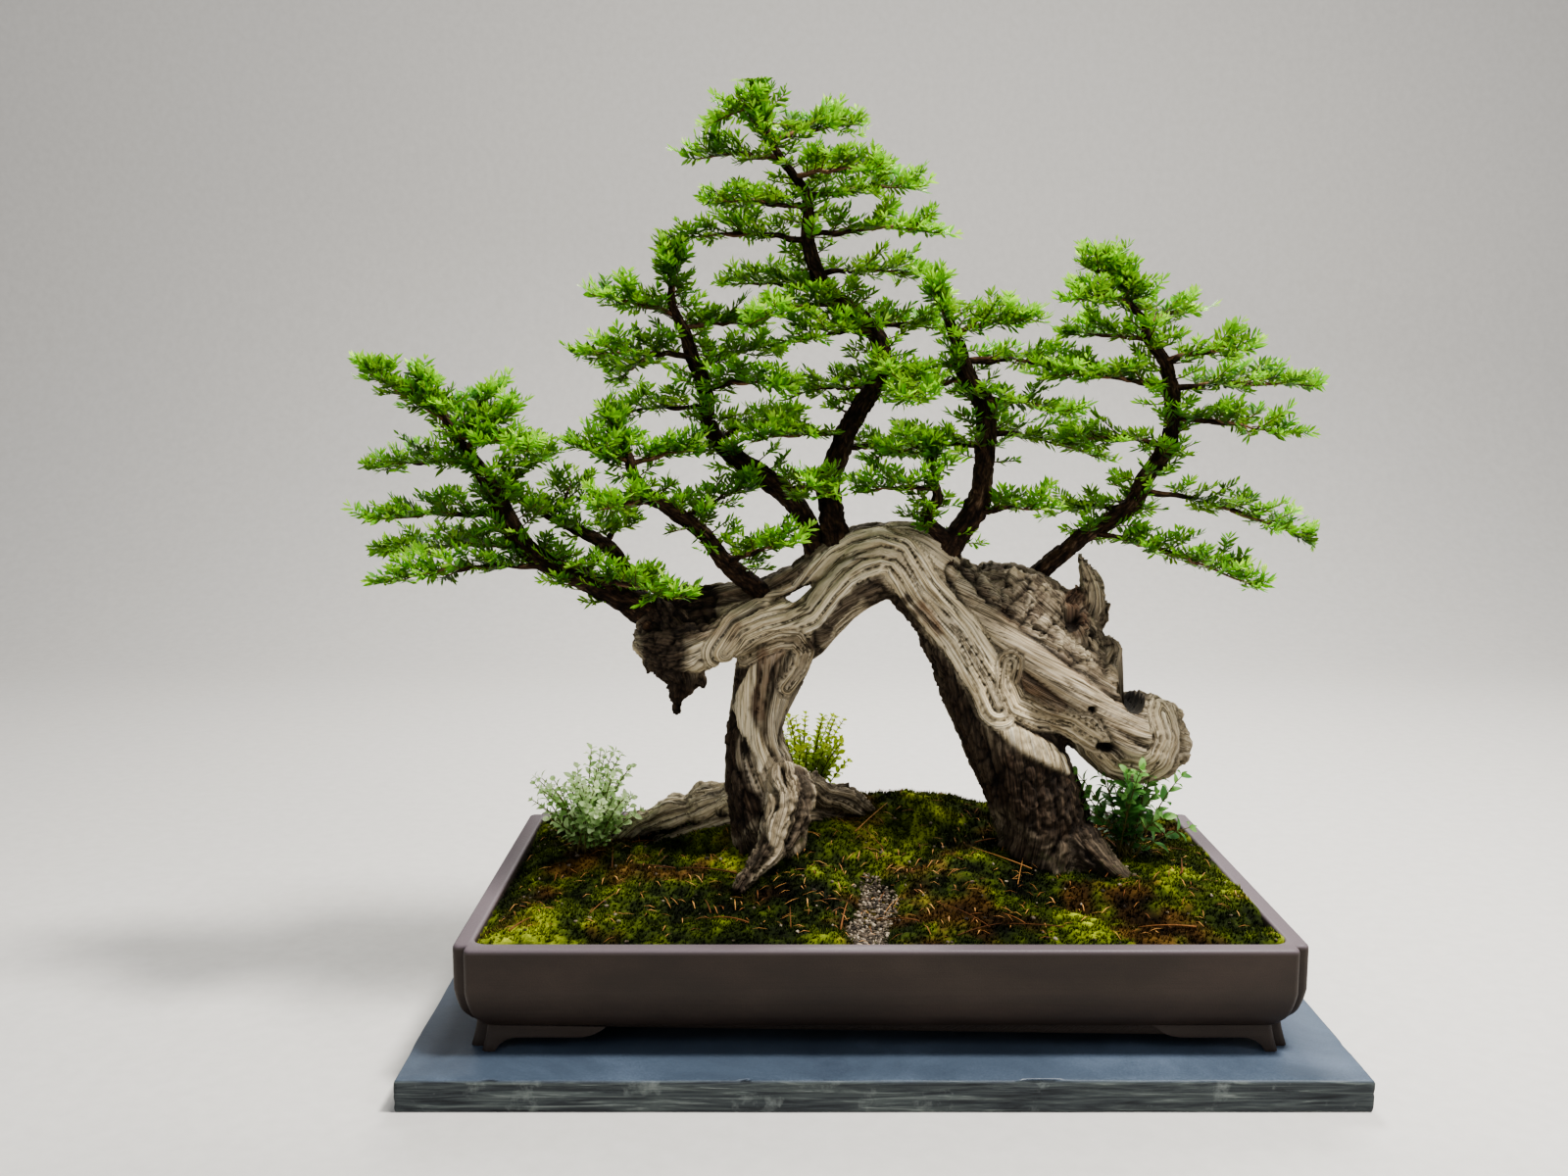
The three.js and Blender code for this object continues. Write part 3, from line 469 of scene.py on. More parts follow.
def slab_ring(inset):
    """Points round the slab, counter-clockwise."""
    x, y = (np.linspace(-1, 1, int(SLAB[key] / SLAB["spacing"]), endpoint=False)
            for key in ("length", "width"))
    square = np.concatenate([
        np.stack([x, -np.ones_like(x)], 1), np.stack([np.ones_like(y), y], 1),
        np.stack([-x, np.ones_like(x)], 1), np.stack([-np.ones_like(y), -y], 1)])
    return square * [SLAB["length"] / 2 - inset, SLAB["width"] / 2 - inset]


def end_faces(count, total):
    """One face over the first ring of points and one over the last."""
    return [list(range(count))[::-1], list(range(total - count, total))]


def make_slab():
    base = slab_ring(0.0)
    count = len(base)
    half = np.array([SLAB["length"], SLAB["width"]]) / 2
    out = unit(np.sign(base) * (abs(abs(base) - half) < 1))
    points, edge = [], []
    for inset, z in SLAB_RINGS:
        here = np.column_stack([slab_ring(float(inset)), np.full(count, float(z))])
        if 1.0 < z < 26.5 and inset < 1.5:
            at = np.column_stack([base, np.full(count, float(z))])
            ledges = layered(at * [0.02, 0.02, 0.32], 5)
            chips = smoothstep(layered(at * [0.045, 0.045, 0.08], 11), 0.1, 0.75)
            worn = 0.5 + 0.9 * ledges + 2.4 * chips * smoothstep(at[:, 2], 12, 26)
            here[:, :2] -= out * np.clip(worn, 0, 4)[:, None]
        if z > 26.9:
            here[:, 2] -= 0.25 + 0.25 * layered(here * 0.03, 21) + (0.5 if inset < 3 else 0)
        points.append(here)
        edge.append(np.full(count, 1.0 if z < 26.0 else 0.35 if inset < 1.5 else 0.0))
    points = np.vstack(points)
    faces = grid_faces(len(SLAB_RINGS), count, closed=True).tolist() + end_faces(count, len(points))
    slab = loose_object("slate_slab", points, faces)
    set_values(slab.data, {"edge": np.concatenate(edge)})
    dress(slab, [SLATE], ["display_slab"])


# The pot

POT = {"length": 700.0, "width": 400.0, "height": 91.0, "feet": 21.0, "wall": 16.0}
CORNER = {"notch": 11.0, "lobe": 5.0, "inside": 14.0}
FOOT = {"heel": 22, "apron": 100, "end": 126, "drop": 10, "thickness": 15, "flare": 11, "curl": 20,
        "sweep": 16}
DRAIN = {"radius": 15.0, "spacing": 380.0, "sides": 32}
POT_BASE = SLAB["thickness"]
POT_BOTTOM = POT_BASE + POT["feet"]
RIM = POT_BASE + POT["height"]
# The wall's outer and inner line: height above the bottom and how far in
OUTER = [(0, 15.5), (1.5, 13.0), (3.5, 10.9), (6, 9), (9, 6.6), (12.5, 4.7), (16, 3.5), (21, 2.1), (26, 1.0),
         (32, 0), (34, 0), (50, 0), (65.5, 0), (67.5, 0.1), (68.8, 0.6), (69.6, 1.4), (70, 2.5)]
INNER = [(10, 26), (20, 19), (34, 16), (60, 16), (67, 16), (68.6, 15.4), (69.6, 14.6), (70, 13.5)]


def four_corners(quarter):
    quarter = np.array(quarter, float)
    mirrored = quarter[::-1]
    return np.vstack([quarter, mirrored * [-1, 1], quarter * [-1, -1], mirrored * [1, -1]])


def quarter_arc(x, y, radius, steps):
    angles = np.linspace(0, math.pi / 2, steps + 1)
    return [(x + radius * math.cos(a), y + radius * math.sin(a)) for a in angles]


def pot_ring(inset):
    """A ring with the pot's indented corners."""
    notch, lobe = CORNER["notch"], CORNER["lobe"]
    x = POT["length"] / 2 - inset
    y = POT["width"] / 2 - inset
    dip = [(x - notch + dx, y - notch + dy) for dx, dy in ((1.6, -0.35), (0.45, 0.45), (-0.35, 1.6))]
    return four_corners(quarter_arc(x - lobe, y - notch - lobe, lobe, 7) + dip
                        + quarter_arc(x - notch - lobe, y - lobe, lobe, 7))


def inside_ring(inset):
    """A ring with plain rounded corners."""
    round_ = CORNER["inside"]
    x, y = (POT[key] / 2 - inset - round_ for key in ("length", "width"))
    return four_corners(quarter_arc(x, y, round_, 8))


def stack_object(name, rings):
    """A closed object through level rings of equally many points."""
    count = len(rings[0][0])
    points = np.vstack([np.column_stack([ring, np.full(count, float(z))]) for ring, z in rings])
    return loose_object(name, points, grid_faces(len(rings), count, closed=True).tolist()
                        + end_faces(count, len(points)))


def curve_points(start, control, end, steps=8):
    t = np.linspace(0, 1, steps + 1)[1:, None]
    start, control, end = (np.array(p, float) for p in (start, control, end))
    return (start * (1 - t) ** 2 + 2 * control * t * (1 - t) + end * t ** 2).tolist()


def foot_gap(half):
    """Elevation of what is cut away between two feet."""
    low = POT_BASE - 10
    under = POT_BOTTOM - FOOT["drop"]
    heel = half - FOOT["flare"] - FOOT["heel"]
    apron = half - FOOT["apron"]
    curl = heel - FOOT["curl"]
    right = [[heel, low], [heel, POT_BASE]]
    right += curve_points((heel, POT_BASE), (heel - FOOT["curl"] / 4, under), (curl, under))
    right += [[apron, under]]
    right += curve_points((apron, under), (apron - FOOT["sweep"], under), (half - FOOT["end"], POT_BOTTOM))
    right = np.array(right)
    return np.vstack([right, right[::-1] * [-1, 1]])


def prism(name, outline, axis, half):
    """An outline in x or y against z, drawn out to both sides."""
    count = len(outline)
    points = np.vstack([np.insert(outline, 1 if axis == "y" else 0, end, axis=1) for end in (-half, half)])
    sides = [[i, (i + 1) % count, count + (i + 1) % count, count + i] for i in range(count)]
    made = loose_object(name, points, sides + end_faces(count, 2 * count))
    shape = bmesh.new()
    shape.from_mesh(made.data)
    bmesh.ops.recalc_face_normals(shape, faces=shape.faces)
    shape.to_mesh(made.data)
    shape.free()
    return made


def combine(target, other, operation):
    modifier = target.modifiers.new(operation, "BOOLEAN")
    modifier.operation = operation
    modifier.solver = "EXACT"
    modifier.object = other


def bake(target):
    """Applies the object's modifiers to its mesh."""
    bpy.context.view_layer.update()
    shape = target.evaluated_get(bpy.context.evaluated_depsgraph_get())
    mesh = bpy.data.meshes.new_from_object(shape)
    old = target.data
    target.modifiers.clear()
    target.data = mesh
    bpy.data.meshes.remove(old)


def make_pot():
    """The wall, with the feet joined under it and the inside and drainage holes cut out."""
    body = stack_object("clay_pot", [(pot_ring(inset), POT_BOTTOM + z) for z, inset in OUTER])
    flare = FOOT["flare"]
    skirt = stack_object("skirt", [(pot_ring(flare + 0.5 * math.sin(math.pi * s) + (OUTER[0][1] - flare) * s),
                                    POT_BASE + (POT["feet"] + 1) * s) for s in (0, 0.3, 0.6, 1)])
    back = flare + FOOT["thickness"]
    hole = stack_object("hole", [(inside_ring(back), POT_BASE - 1), (inside_ring(back + 4), POT_BOTTOM)])
    along = prism("along", foot_gap(POT["length"] / 2), "y", POT["width"])
    across = prism("across", foot_gap(POT["width"] / 2), "x", POT["length"])
    inside = stack_object("inside", [(inside_ring(inset), POT_BOTTOM + z) for z, inset in INNER]
                          + [(inside_ring(INNER[-1][1]), RIM + 20)])
    for cutter in (hole, along, across):
        combine(skirt, cutter, "DIFFERENCE")
    bake(skirt)
    combine(body, skirt, "UNION")
    combine(body, inside, "DIFFERENCE")
    drills = []
    angles = np.linspace(0, 2 * math.pi, DRAIN["sides"], endpoint=False)
    for side in (-1, 1):
        ring = np.column_stack([side * DRAIN["spacing"] / 2 + DRAIN["radius"] * np.cos(angles),
                                DRAIN["radius"] * np.sin(angles)])
        drills.append(stack_object(f"drill{side}", [(ring, POT_BOTTOM - 20), (ring, POT_BOTTOM + 20)]))
        combine(body, drills[-1], "DIFFERENCE")
    bake(body)
    for extra in [skirt, inside, hole, along, across] + drills:
        bpy.data.objects.remove(extra)
    edges = body.modifiers.new("edges", "BEVEL")
    edges.width = 0.8 * MM
    edges.segments = 2
    edges.limit_method = "ANGLE"
    edges.angle_limit = math.radians(50)
    bake(body)
    mesh = body.data
    # The top of the rim, which gets the painted sheen
    set_values(mesh, {"rim": smoothstep(get_vectors(mesh, "co")[:, 2] / MM, RIM - 3.5, RIM - 1.0)})
    mesh.materials.clear()
    mesh.polygons.foreach_set("material_index", np.zeros(len(mesh.polygons), np.int32))
    dress(body, [CLAY], ["pot"])
    mesh.set_sharp_from_angle(angle=math.radians(35))


# The soil

SOIL_EDGE = RIM - 6
SOIL_DEPTH = 14
SOIL_HALF = np.array([POT["length"], POT["width"]]) / 2 - POT["wall"]
LITTER_HALF = SOIL_HALF - 3
# Mounds: middle in x and y, height, and reach in x and y
MOUNDS = [(52, 88, 46, 115, 62), (-84, 14, 36, 74, 58), (152, 0, 28, 84, 58), (-262, 20, 10, 70, 60),
          (272, -4, 12, 60, 60), (-150, 95, 16, 90, 50), (-28, 60, 9, 46, 34), (-175, 50, 8, 60, 30),
          (-72, -74, 13, 44, 34), (74, -62, 15, 60, 40), (-185, -60, 7, 60, 40), (230, -80, 7, 60, 40)]
CHANNEL = {"x": -2, "y": -118, "depth": 15, "half": 19, "reach": 82}
# Patches of painted sunlight on the moss, and rusty moss: middle in x and y, and reach in x and y
SUNLIT_PATCHES = [(88, 130, 45, 40), (-330, -150, 50, 40), (-120, -40, 40, 40), (200, -130, 60, 40)]
RUSTY = [(40, 95, 90, 55), (250, 120, 60, 60), (-290, -60, 60, 90)]


def bells(x, y, places):
    return sum(bell((x - mx) / reach_x, (y - my) / reach_y) for mx, my, reach_x, reach_y in places)


def channel_share(x, y):
    bend = 7 * np.sin((y + 120) / 26.0)
    return bell((x - CHANNEL["x"] - bend) / CHANNEL["half"], (y - CHANNEL["y"]) / CHANNEL["reach"])


def soil_base(x, y):
    """The soil's height without its moss."""
    shoulder = smoothstep(np.minimum(SOIL_HALF[0] - np.abs(x), SOIL_HALF[1] - np.abs(y)), 0, 34)
    rise = np.full(np.shape(x), 4.0)
    for mx, my, height, reach_x, reach_y in MOUNDS:
        rise = rise + height * bell((x - mx) / reach_x, (y - my) / reach_y)
    valley = CHANNEL["depth"] * channel_share(x, y)
    return SOIL_EDGE + shoulder * rise - valley * (0.35 + 0.65 * shoulder)


def cushions(x, y, size, seed):
    """Rounded moss cushions: near 1 at the middle of a cushion and 0 in the gaps."""
    cx = np.floor(x / size).astype(np.int64)
    cy = np.floor(y / size).astype(np.int64)
    nearest = np.full(x.shape, 9.0)
    for i in (-1, 0, 1):
        for j in (-1, 0, 1):
            along, across, wide = (cell_hash(cx + i, cy + j, np.zeros_like(cx), seed + k) for k in range(3))
            far = np.hypot(x - (cx + i + along) * size, y - (cy + j + across) * size)
            nearest = np.minimum(nearest, far / size / (0.7 + 0.6 * wide))
    return np.sqrt(np.clip(1 - nearest ** 2, 0, 1))


def soil_top(x, y):
    """The moss surface's height with its cushions, and its tone, rust and gravel shares. The tone is partly
    random and partly painted light and shade that follows the relief.
    """
    x = np.asarray(x, float)
    y = np.asarray(y, float)
    at = np.stack([x, y, np.zeros_like(x)], -1).reshape(-1, 3)
    wide, middling, small, patch = (v.reshape(x.shape) for v in (
        layered(at / 70, 3), layered(at / 26, 9), layered(at / 9, 15, 2), layered(at / 45, 31)))
    gravel = smoothstep(channel_share(x, y), 0.30, 0.62)
    large = cushions(x + 6 * middling, y, 30, 1)
    little = cushions(x, y + 4 * middling, 13, 5)
    padding = 12.0 * large * (0.6 + 0.4 * wide) + 4.5 * little + 1.3 * small - 7.0 + 7.0 * wide
    height = soil_base(x, y) + (1 - gravel) * padding
    # The tone is partly random and partly painted light and shade: lighter on the cushions and higher ground,
    # darker in the gaps between them
    tone = 0.10 + 0.34 * wide + 0.34 * middling + 0.22 * small + 0.42 * (large - 0.55) + 0.3 * (little - 0.5)
    rusty = patch + 0.45 * bells(x, y, RUSTY[:2]) + 0.3 * bells(x, y, RUSTY[2:]) + 0.25 * middling
    rust = smoothstep(rusty, 0.08, 0.5) * (1 - gravel)
    # Painted sunlight: the moss is made lighter in these patches
    tone = np.clip(tone + 0.42 * np.clip(bells(x, y, SUNLIT_PATCHES), 0, 1) * (1 - rust), 0, 1)
    return height, tone, rust * 0.9, gravel


def make_soil():
    """A fine grid with rounded corners over the whole inside of the pot, closed below."""
    half = SOIL_HALF + 0.1
    columns, rows = 300, 164
    round_ = CORNER["inside"]
    grid = np.stack(np.meshgrid(*(np.linspace(-h, h, n) for h, n in zip(half, (columns, rows)))), -1)
    over = np.maximum(np.abs(grid) - (half - round_), 0)
    far = np.hypot(over[..., 0], over[..., 1])
    pull = np.where(far > round_, round_ / np.maximum(far, 1e-6), 1)[..., None]
    grid = np.where(over > 0, np.sign(grid) * (half - round_ + over * pull), grid)
    x, y = grid[..., 0], grid[..., 1]
    z, tone, rust, gravel = soil_top(x, y)
    edge = (half - np.abs(grid)).min(-1)
    z = z - 2.5 * fade(edge, 0, 6)
    z = np.minimum(z, np.where(edge < 12, RIM + 1.0 + edge * 0.8, NO_LIMIT))
    top = np.column_stack([x.ravel(), y.ravel(), z.ravel()])
    index = np.arange(rows * columns).reshape(rows, columns)
    border = np.concatenate([index[0, :-1], index[:-1, -1], index[-1, :0:-1], index[:0:-1, 0]])
    floor = SOIL_EDGE - SOIL_DEPTH
    below = top[border].copy()
    below[:, 2] = floor
    low = len(top) + np.arange(len(border))
    skirt = np.stack([border, low, np.roll(low, -1), np.roll(border, -1)], 1)
    middle = len(top) + len(border)
    fan = np.stack([low, np.full(len(border), middle), np.roll(low, -1)], 1)
    faces = grid_faces(rows, columns).tolist() + skirt.tolist() + fan.tolist()
    soil = loose_object("mossy_soil", np.vstack([top, below, [[0, 0, floor]]]), faces)
    hidden = len(border) + 1
    set_values(soil.data, {
        "tone": np.concatenate([tone.ravel(), np.full(hidden, 0.2)]),
        "rust": np.concatenate([np.maximum(rust, gravel * 0.6).ravel(), np.full(hidden, 0.8)])})
    dress(soil, [MOSS], ["soil"])


def on_soil(rng, count, keep):
    """Random places on the soil for which keep(x, y) is true."""
    found = []
    have = 0
    while have < count:
        x, y = (rng.uniform(-half, half, count) for half in LITTER_HALF)
        good = keep(x, y)
        found.append(np.stack([x[good], y[good]]))
        have += int(good.sum())
    return np.hstack(found)[:, :count]


def make_moss():
    """Moss leaflets: short pointed blades that stand in tufts all over the cushions."""
    rng = np.random.default_rng(11)
    count = 30000
    x, y = on_soil(rng, count, lambda a, b: (channel_share(a, b) < 0.42) | (rng.random(len(a)) < 0.03))
    z, tone, rust, _ = soil_top(x, y)
    step = 1.5
    slope_x = (soil_top(x + step, y)[0] - z) / step
    slope_y = (soil_top(x, y + step)[0] - z) / step
    up = unit(np.column_stack([-0.8 * slope_x, -0.8 * slope_y, np.ones(count)]))
    foot = np.column_stack([x, y, z - 0.6])
    blades, tones = [], []
    for _ in range(4):
        angle = rng.uniform(0, 2 * math.pi, count)
        out = np.column_stack([np.cos(angle), np.sin(angle), np.zeros(count)])
        side = np.column_stack([-np.sin(angle), np.cos(angle), np.zeros(count)])
        height, wide, lean = (rng.uniform(low, high, count)[:, None]
                              for low, high in ((2.2, 4.4), (0.45, 0.75), (0.2, 1.0)))
        base = foot + out * 0.3
        tip = base + up * height + out * lean * height * 0.7
        blades.append(np.stack([base - side * wide, base + side * wide, tip], 1))
        shade = np.clip(tone + rng.normal(0, 0.08, count), 0, 1)
        # Each blade is darker at its foot than at its tip
        tones.append(np.column_stack([shade * 0.55, shade * 0.55, np.clip(shade * 1.15 + 0.08, 0, 1)]))
    points = np.vstack(blades).reshape(-1, 3)
    edge = (SOIL_HALF - np.abs(points[:, :2])).min(1)
    points[:, 2] = np.minimum(points[:, 2], np.where(edge < 4, RIM + 2, NO_LIMIT))
    add_piece("moss", points, np.arange(len(points)).reshape(-1, 3), [MOSS],
              values={"tone": np.vstack(tones).ravel(), "rust": np.tile(np.repeat(rust, 3), 4)})


def blob_shape():
    """A rough ball of 12 points and 20 faces."""
    t = (1 + 5 ** 0.5) / 2
    points = np.array([
        [-1, t, 0], [1, t, 0], [-1, -t, 0], [1, -t, 0], [0, -1, t], [0, 1, t],
        [0, -1, -t], [0, 1, -t], [t, 0, -1], [t, 0, 1], [-t, 0, -1], [-t, 0, 1]]) / math.hypot(1, t)
    faces = np.array([
        [0, 11, 5], [0, 5, 1], [0, 1, 7], [0, 7, 10], [0, 10, 11], [1, 5, 9], [5, 11, 4], [11, 10, 2],
        [10, 7, 6], [7, 1, 8], [3, 9, 4], [3, 4, 2], [3, 2, 6], [3, 6, 8], [3, 8, 9], [4, 9, 5],
        [2, 4, 11], [6, 2, 10], [8, 6, 7], [9, 8, 1]])
    return points, faces


def make_gravel():
    rng = np.random.default_rng(23)
    ball, ball_faces = blob_shape()
    corners = len(ball)
    count = 1500
    x, y = on_soil(rng, count, lambda a, b: (channel_share(a, b) > 0.36) | (rng.random(len(a)) < 0.004))
    z = soil_top(x, y)[0]
    size = rng.uniform(0.9, 2.4, (count, 1)) * rng.uniform(0.75, 1.25, (count, 3)) * [1, 1, 0.75]
    dents = 1 + rng.uniform(-0.22, 0.22, (count, corners, 1))
    points = ball[None] * dents * size[:, None, :]
    points = points + np.column_stack([x, y, z + 0.3])[:, None, :]
    faces = ball_faces[None] + (np.arange(count) * corners)[:, None, None]
    add_piece("channel_gravel", points.reshape(-1, 3), faces.reshape(-1, 3), [GRAVEL],
              values={"tone": np.repeat(rng.random(count), corners)})


# Tubes and centre lines

def dense_line(stations, step):
    """A smooth line through stations of x, y, z and radius."""
    p = np.array(stations, float)
    ends = np.vstack([2 * p[0] - p[1], p, 2 * p[-1] - p[-2]])
    rows = []
    for i in range(len(p) - 1):
        a, b, c, d = ends[i:i + 4]
        t = np.linspace(0, 1, max(2, int(np.linalg.norm(c[:3] - b[:3]) / step)), endpoint=False)[:, None]
        rows.append(0.5 * (2 * b + (c - a) * t + (2 * a - 5 * b + 4 * c - d) * t ** 2
                           + (3 * b - a - 3 * c + d) * t ** 3))
    line = np.vstack(rows + [p[-1:]])
    line[:, 3] = np.maximum(line[:, 3], p[:, 3].min() * 0.8)
    return line


def line_frame(centre):
    """The tangent, side and front at each point of a centre line, and the distance along it."""
    tangent = unit(np.gradient(centre, axis=0))
    overall = unit(centre[-1] - centre[0])
    reference = np.array([0, 0, 1.0]) if abs(overall[1]) > 0.7 else np.array([0, 1.0, 0])
    side = unit(np.cross(tangent, reference))
    front = np.cross(side, tangent)
    along = np.concatenate([[0], np.cumsum(np.linalg.norm(np.diff(centre, axis=0), axis=1))])
    return tangent, side, front, along


def tube(line, sides, depth=1.0, shape=None, dome=True):
    """A closed tube round a dense line, as points, quads, end triangles and grain coordinates.

    shape(angle, along) scales its radius, and dome rounds its ends.
    """
    centre, radius = line[:, :3], line[:, 3]
    tangent, side, front, along = line_frame(centre)
    if dome:
        shares = np.array([0.35, 0.7, 0.93])
        heights = np.sqrt(1 - shares ** 2)
        first = np.outer(-heights * radius[0] * 0.8, tangent[0]) + centre[0]
        last = np.outer(heights[::-1] * radius[-1] * 0.8, tangent[-1]) + centre[-1]
        centre = np.vstack([first, centre, last])
        radius = np.concatenate([shares * radius[0], radius, shares[::-1] * radius[-1]])
        side, front = (np.pad(v, ((3, 3), (0, 0)), "edge") for v in (side, front))
        along = np.pad(along, 3, "edge")
    angle = np.linspace(0, 2 * math.pi, sides, endpoint=False)
    reach = np.repeat(radius[:, None], sides, 1)
    if shape is not None:
        reach = reach * shape(angle[None, :], along[:, None])
    points = (centre[:, None] + side[:, None] * (reach * np.cos(angle))[..., None]
              + front[:, None] * (reach * np.sin(angle) * depth)[..., None])
    rings = len(centre)
    count = rings * sides
    points = np.vstack([points.reshape(-1, 3), centre[:1], centre[-1:]])
    ring = np.arange(sides)
    after = (ring + 1) % sides
    tail = (rings - 1) * sides
    caps = np.vstack([np.stack([np.full(sides, count), after, ring], 1),
                      np.stack([np.full(sides, count + 1), tail + ring, tail + after], 1)])
    flow = np.stack([np.repeat(along[:, None], sides, 1),
                     np.repeat(np.cos(angle)[None] * radius.mean(), rings, 0),
                     np.repeat(np.sin(angle)[None] * radius.mean(), rings, 0)], -1).reshape(-1, 3)
    flow = np.vstack([flow, [[along[0], 0, 0], [along[-1], 0, 0]]])
    return points, grid_faces(rings, sides, closed=True), caps, flow


def drum(angle, along, radius, pitch, twist):
    """Places on a twisted drum, one row each, and the shape of the grid that they come from."""
    turned = angle + twist * along
    height = np.broadcast_to(along / pitch, turned.shape)
    at = np.stack([radius * np.cos(turned), radius * np.sin(turned), height], -1)
    return at.reshape(-1, 3), turned.shape


def near_path(points, path):
    """The distance from each point to a path of straight stretches, and where on it the nearest place is."""
    best = np.full(len(points), 1e9)
    where = np.zeros(len(points))
    path = np.array(path, float)
    for i, (a, b) in enumerate(zip(path[:-1], path[1:])):
        along = b - a
        t = np.clip((points - a) @ along / (along @ along), 0, 1)
        far = np.linalg.norm(points - a - t[:, None] * along, axis=1)
        closer = far < best
        best = np.where(closer, far, best)
        where = np.where(closer, i + t, where)
    return best, where


# The old wood

# Each limb: its depth as a share of its width, and its stations of x, y, z and radius
LIMBS = {
    "leftLeg": (0.92, [(-90, 0, 82, 42), (-92, 0, 142, 37), (-95, 2, 176, 37), (-100, 6, 206, 35),
                       (-105, 9, 238, 28), (-103, 10, 266, 26), (-95, 10, 296, 30), (-86, 10, 326, 34),
                       (-76, 10, 348, 30)]),
    "leftArch": (0.95, [(58, 10, 404, 32), (30, 10, 412, 34), (2, 10, 400, 30), (-23, 8, 383, 26),
                        (-43, 6, 363, 24), (-65, 4, 344, 27), (-88, 4, 330, 24)]),
    "snout": (1.0, [(-52, 0, 350, 22), (-92, -5, 351, 23), (-126, -8, 345, 22), (-153, -8, 336, 23),
                    (-176, -4, 330, 27), (-195, 2, 333, 24), (-210, 5, 337, 13)]),
    "jaw": (0.8, [(-172, -5, 306, 15), (-177, -5, 289, 9), (-177, -5, 277, 6.5), (-178, -5, 270, 5)]),
    "liveLimb": (1.0, [(-202, 10, 356, 20), (-179, 14, 368, 18), (-156, 16, 373, 14), (-129, 16, 376, 13),
                       (-97, 18, 382, 13), (-68, 20, 395, 13), (-37, 22, 414, 13), (-6, 20, 430, 13),
                       (26, 18, 434, 12)]),
    "rightLeg": (0.92, [(30, 8, 410, 30), (61, 6, 372, 31), (89, 4, 326, 34), (107, 2, 288, 38),
                        (126, 0, 250, 42), (146, 0, 212, 44), (162, 0, 174, 45), (169, 0, 136, 49),
                        (172, 0, 82, 56)]),
    "log": (0.95, [(48, 14, 404, 22), (89, 14, 374, 34), (130, 10, 340, 40), (171, 6, 304, 42),
                   (211, 2, 270, 42), (242, 0, 247, 43), (266, 0, 238, 37), (280, 0, 234, 26),
                   (287, 0, 234, 15)]),
    "hump": (0.9, [(95, 24, 386, 18), (118, 24, 380, 29), (146, 24, 364, 37), (178, 22, 346, 34),
                   (206, 20, 318, 25)]),
    "spike": (0.65, [(192, 18, 326, 28), (200, 16, 350, 19), (206, 16, 368, 13), (207, 16, 384, 10),
                     (204, 16, 396, 7), (200, 16, 406, 4.5), (196, 16, 413, 2)]),
    "spikeEdge": (0.6, [(190, 14, 340, 14), (190, 13, 360, 9), (191, 13, 376, 5.5), (193, 13, 387, 3)]),
    "spikeBack": (0.6, [(212, 18, 350, 12), (218, 18, 362, 7), (220, 18, 371, 3)]),
    "knob": (0.8, [(214, 12, 300, 22), (222, 12, 318, 14), (226, 12, 329, 9), (224, 12, 336, 6)]),
    "crest": (0.7, [(172, 10, 366, 15), (184, 12, 370, 12), (192, 14, 378, 8)]),
    "lip": (0.7, [(282, 0, 240, 20), (280, 0, 258, 15), (271, 2, 272, 10), (260, 4, 281, 7),
                  (252, 4, 284, 4)]),
    "head": (0.85, [(-190, 2, 364, 19), (-183, 0, 345, 23), (-178, -3, 322, 25), (-172, -5, 305, 19),
                    (-174, -5, 291, 11)]),
    "shardOne": (0.7, [(-190, -2, 336, 15), (-200, -3, 320, 8), (-202, -4, 309, 4)]),
    "shardTwo": (0.7, [(-168, -6, 318, 14), (-157, -7, 305, 8), (-153, -8, 296, 4)]),
    "bridge": (0.8, [(-184, 8, 348, 18), (-150, 6, 362, 14), (-122, 8, 366, 13), (-98, 10, 370, 10)]),
    "leftRoot": (1.0, [(-96, 18, 168, 24), (-118, 34, 178, 21), (-136, 42, 176, 13), (-153, 50, 170, 18),
                       (-171, 56, 162, 11), (-190, 60, 158, 16), (-208, 64, 150, 10), (-226, 68, 142, 12),
                       (-252, 70, 120, 8)]),
    "rightRoot": (1.0, [(-80, 18, 184, 24), (-58, 30, 190, 18), (-38, 38, 180, 13), (-18, 46, 174, 15),
                        (4, 56, 160, 9), (22, 66, 146, 6)]),
    "frontRoot": (1.0, [(-76, -24, 214, 19), (-74, -36, 196, 22), (-82, -46, 176, 20), (-90, -56, 160, 15),
                        (-106, -70, 144, 10), (-120, -84, 128, 6)]),
    "rightFoot": (1.0, [(-74, 22, 156, 18), (-48, 36, 156, 13), (-24, 48, 150, 11), (0, 60, 142, 8)]),
    "leftFoot": (1.0, [(-104, 26, 150, 18), (-132, 40, 150, 13), (-164, 50, 138, 11), (-200, 54, 128, 8)]),
    "heelRoot": (1.0, [(190, -14, 150, 28), (216, -44, 134, 14), (236, -68, 122, 9), (246, -94, 108, 6)]),
}
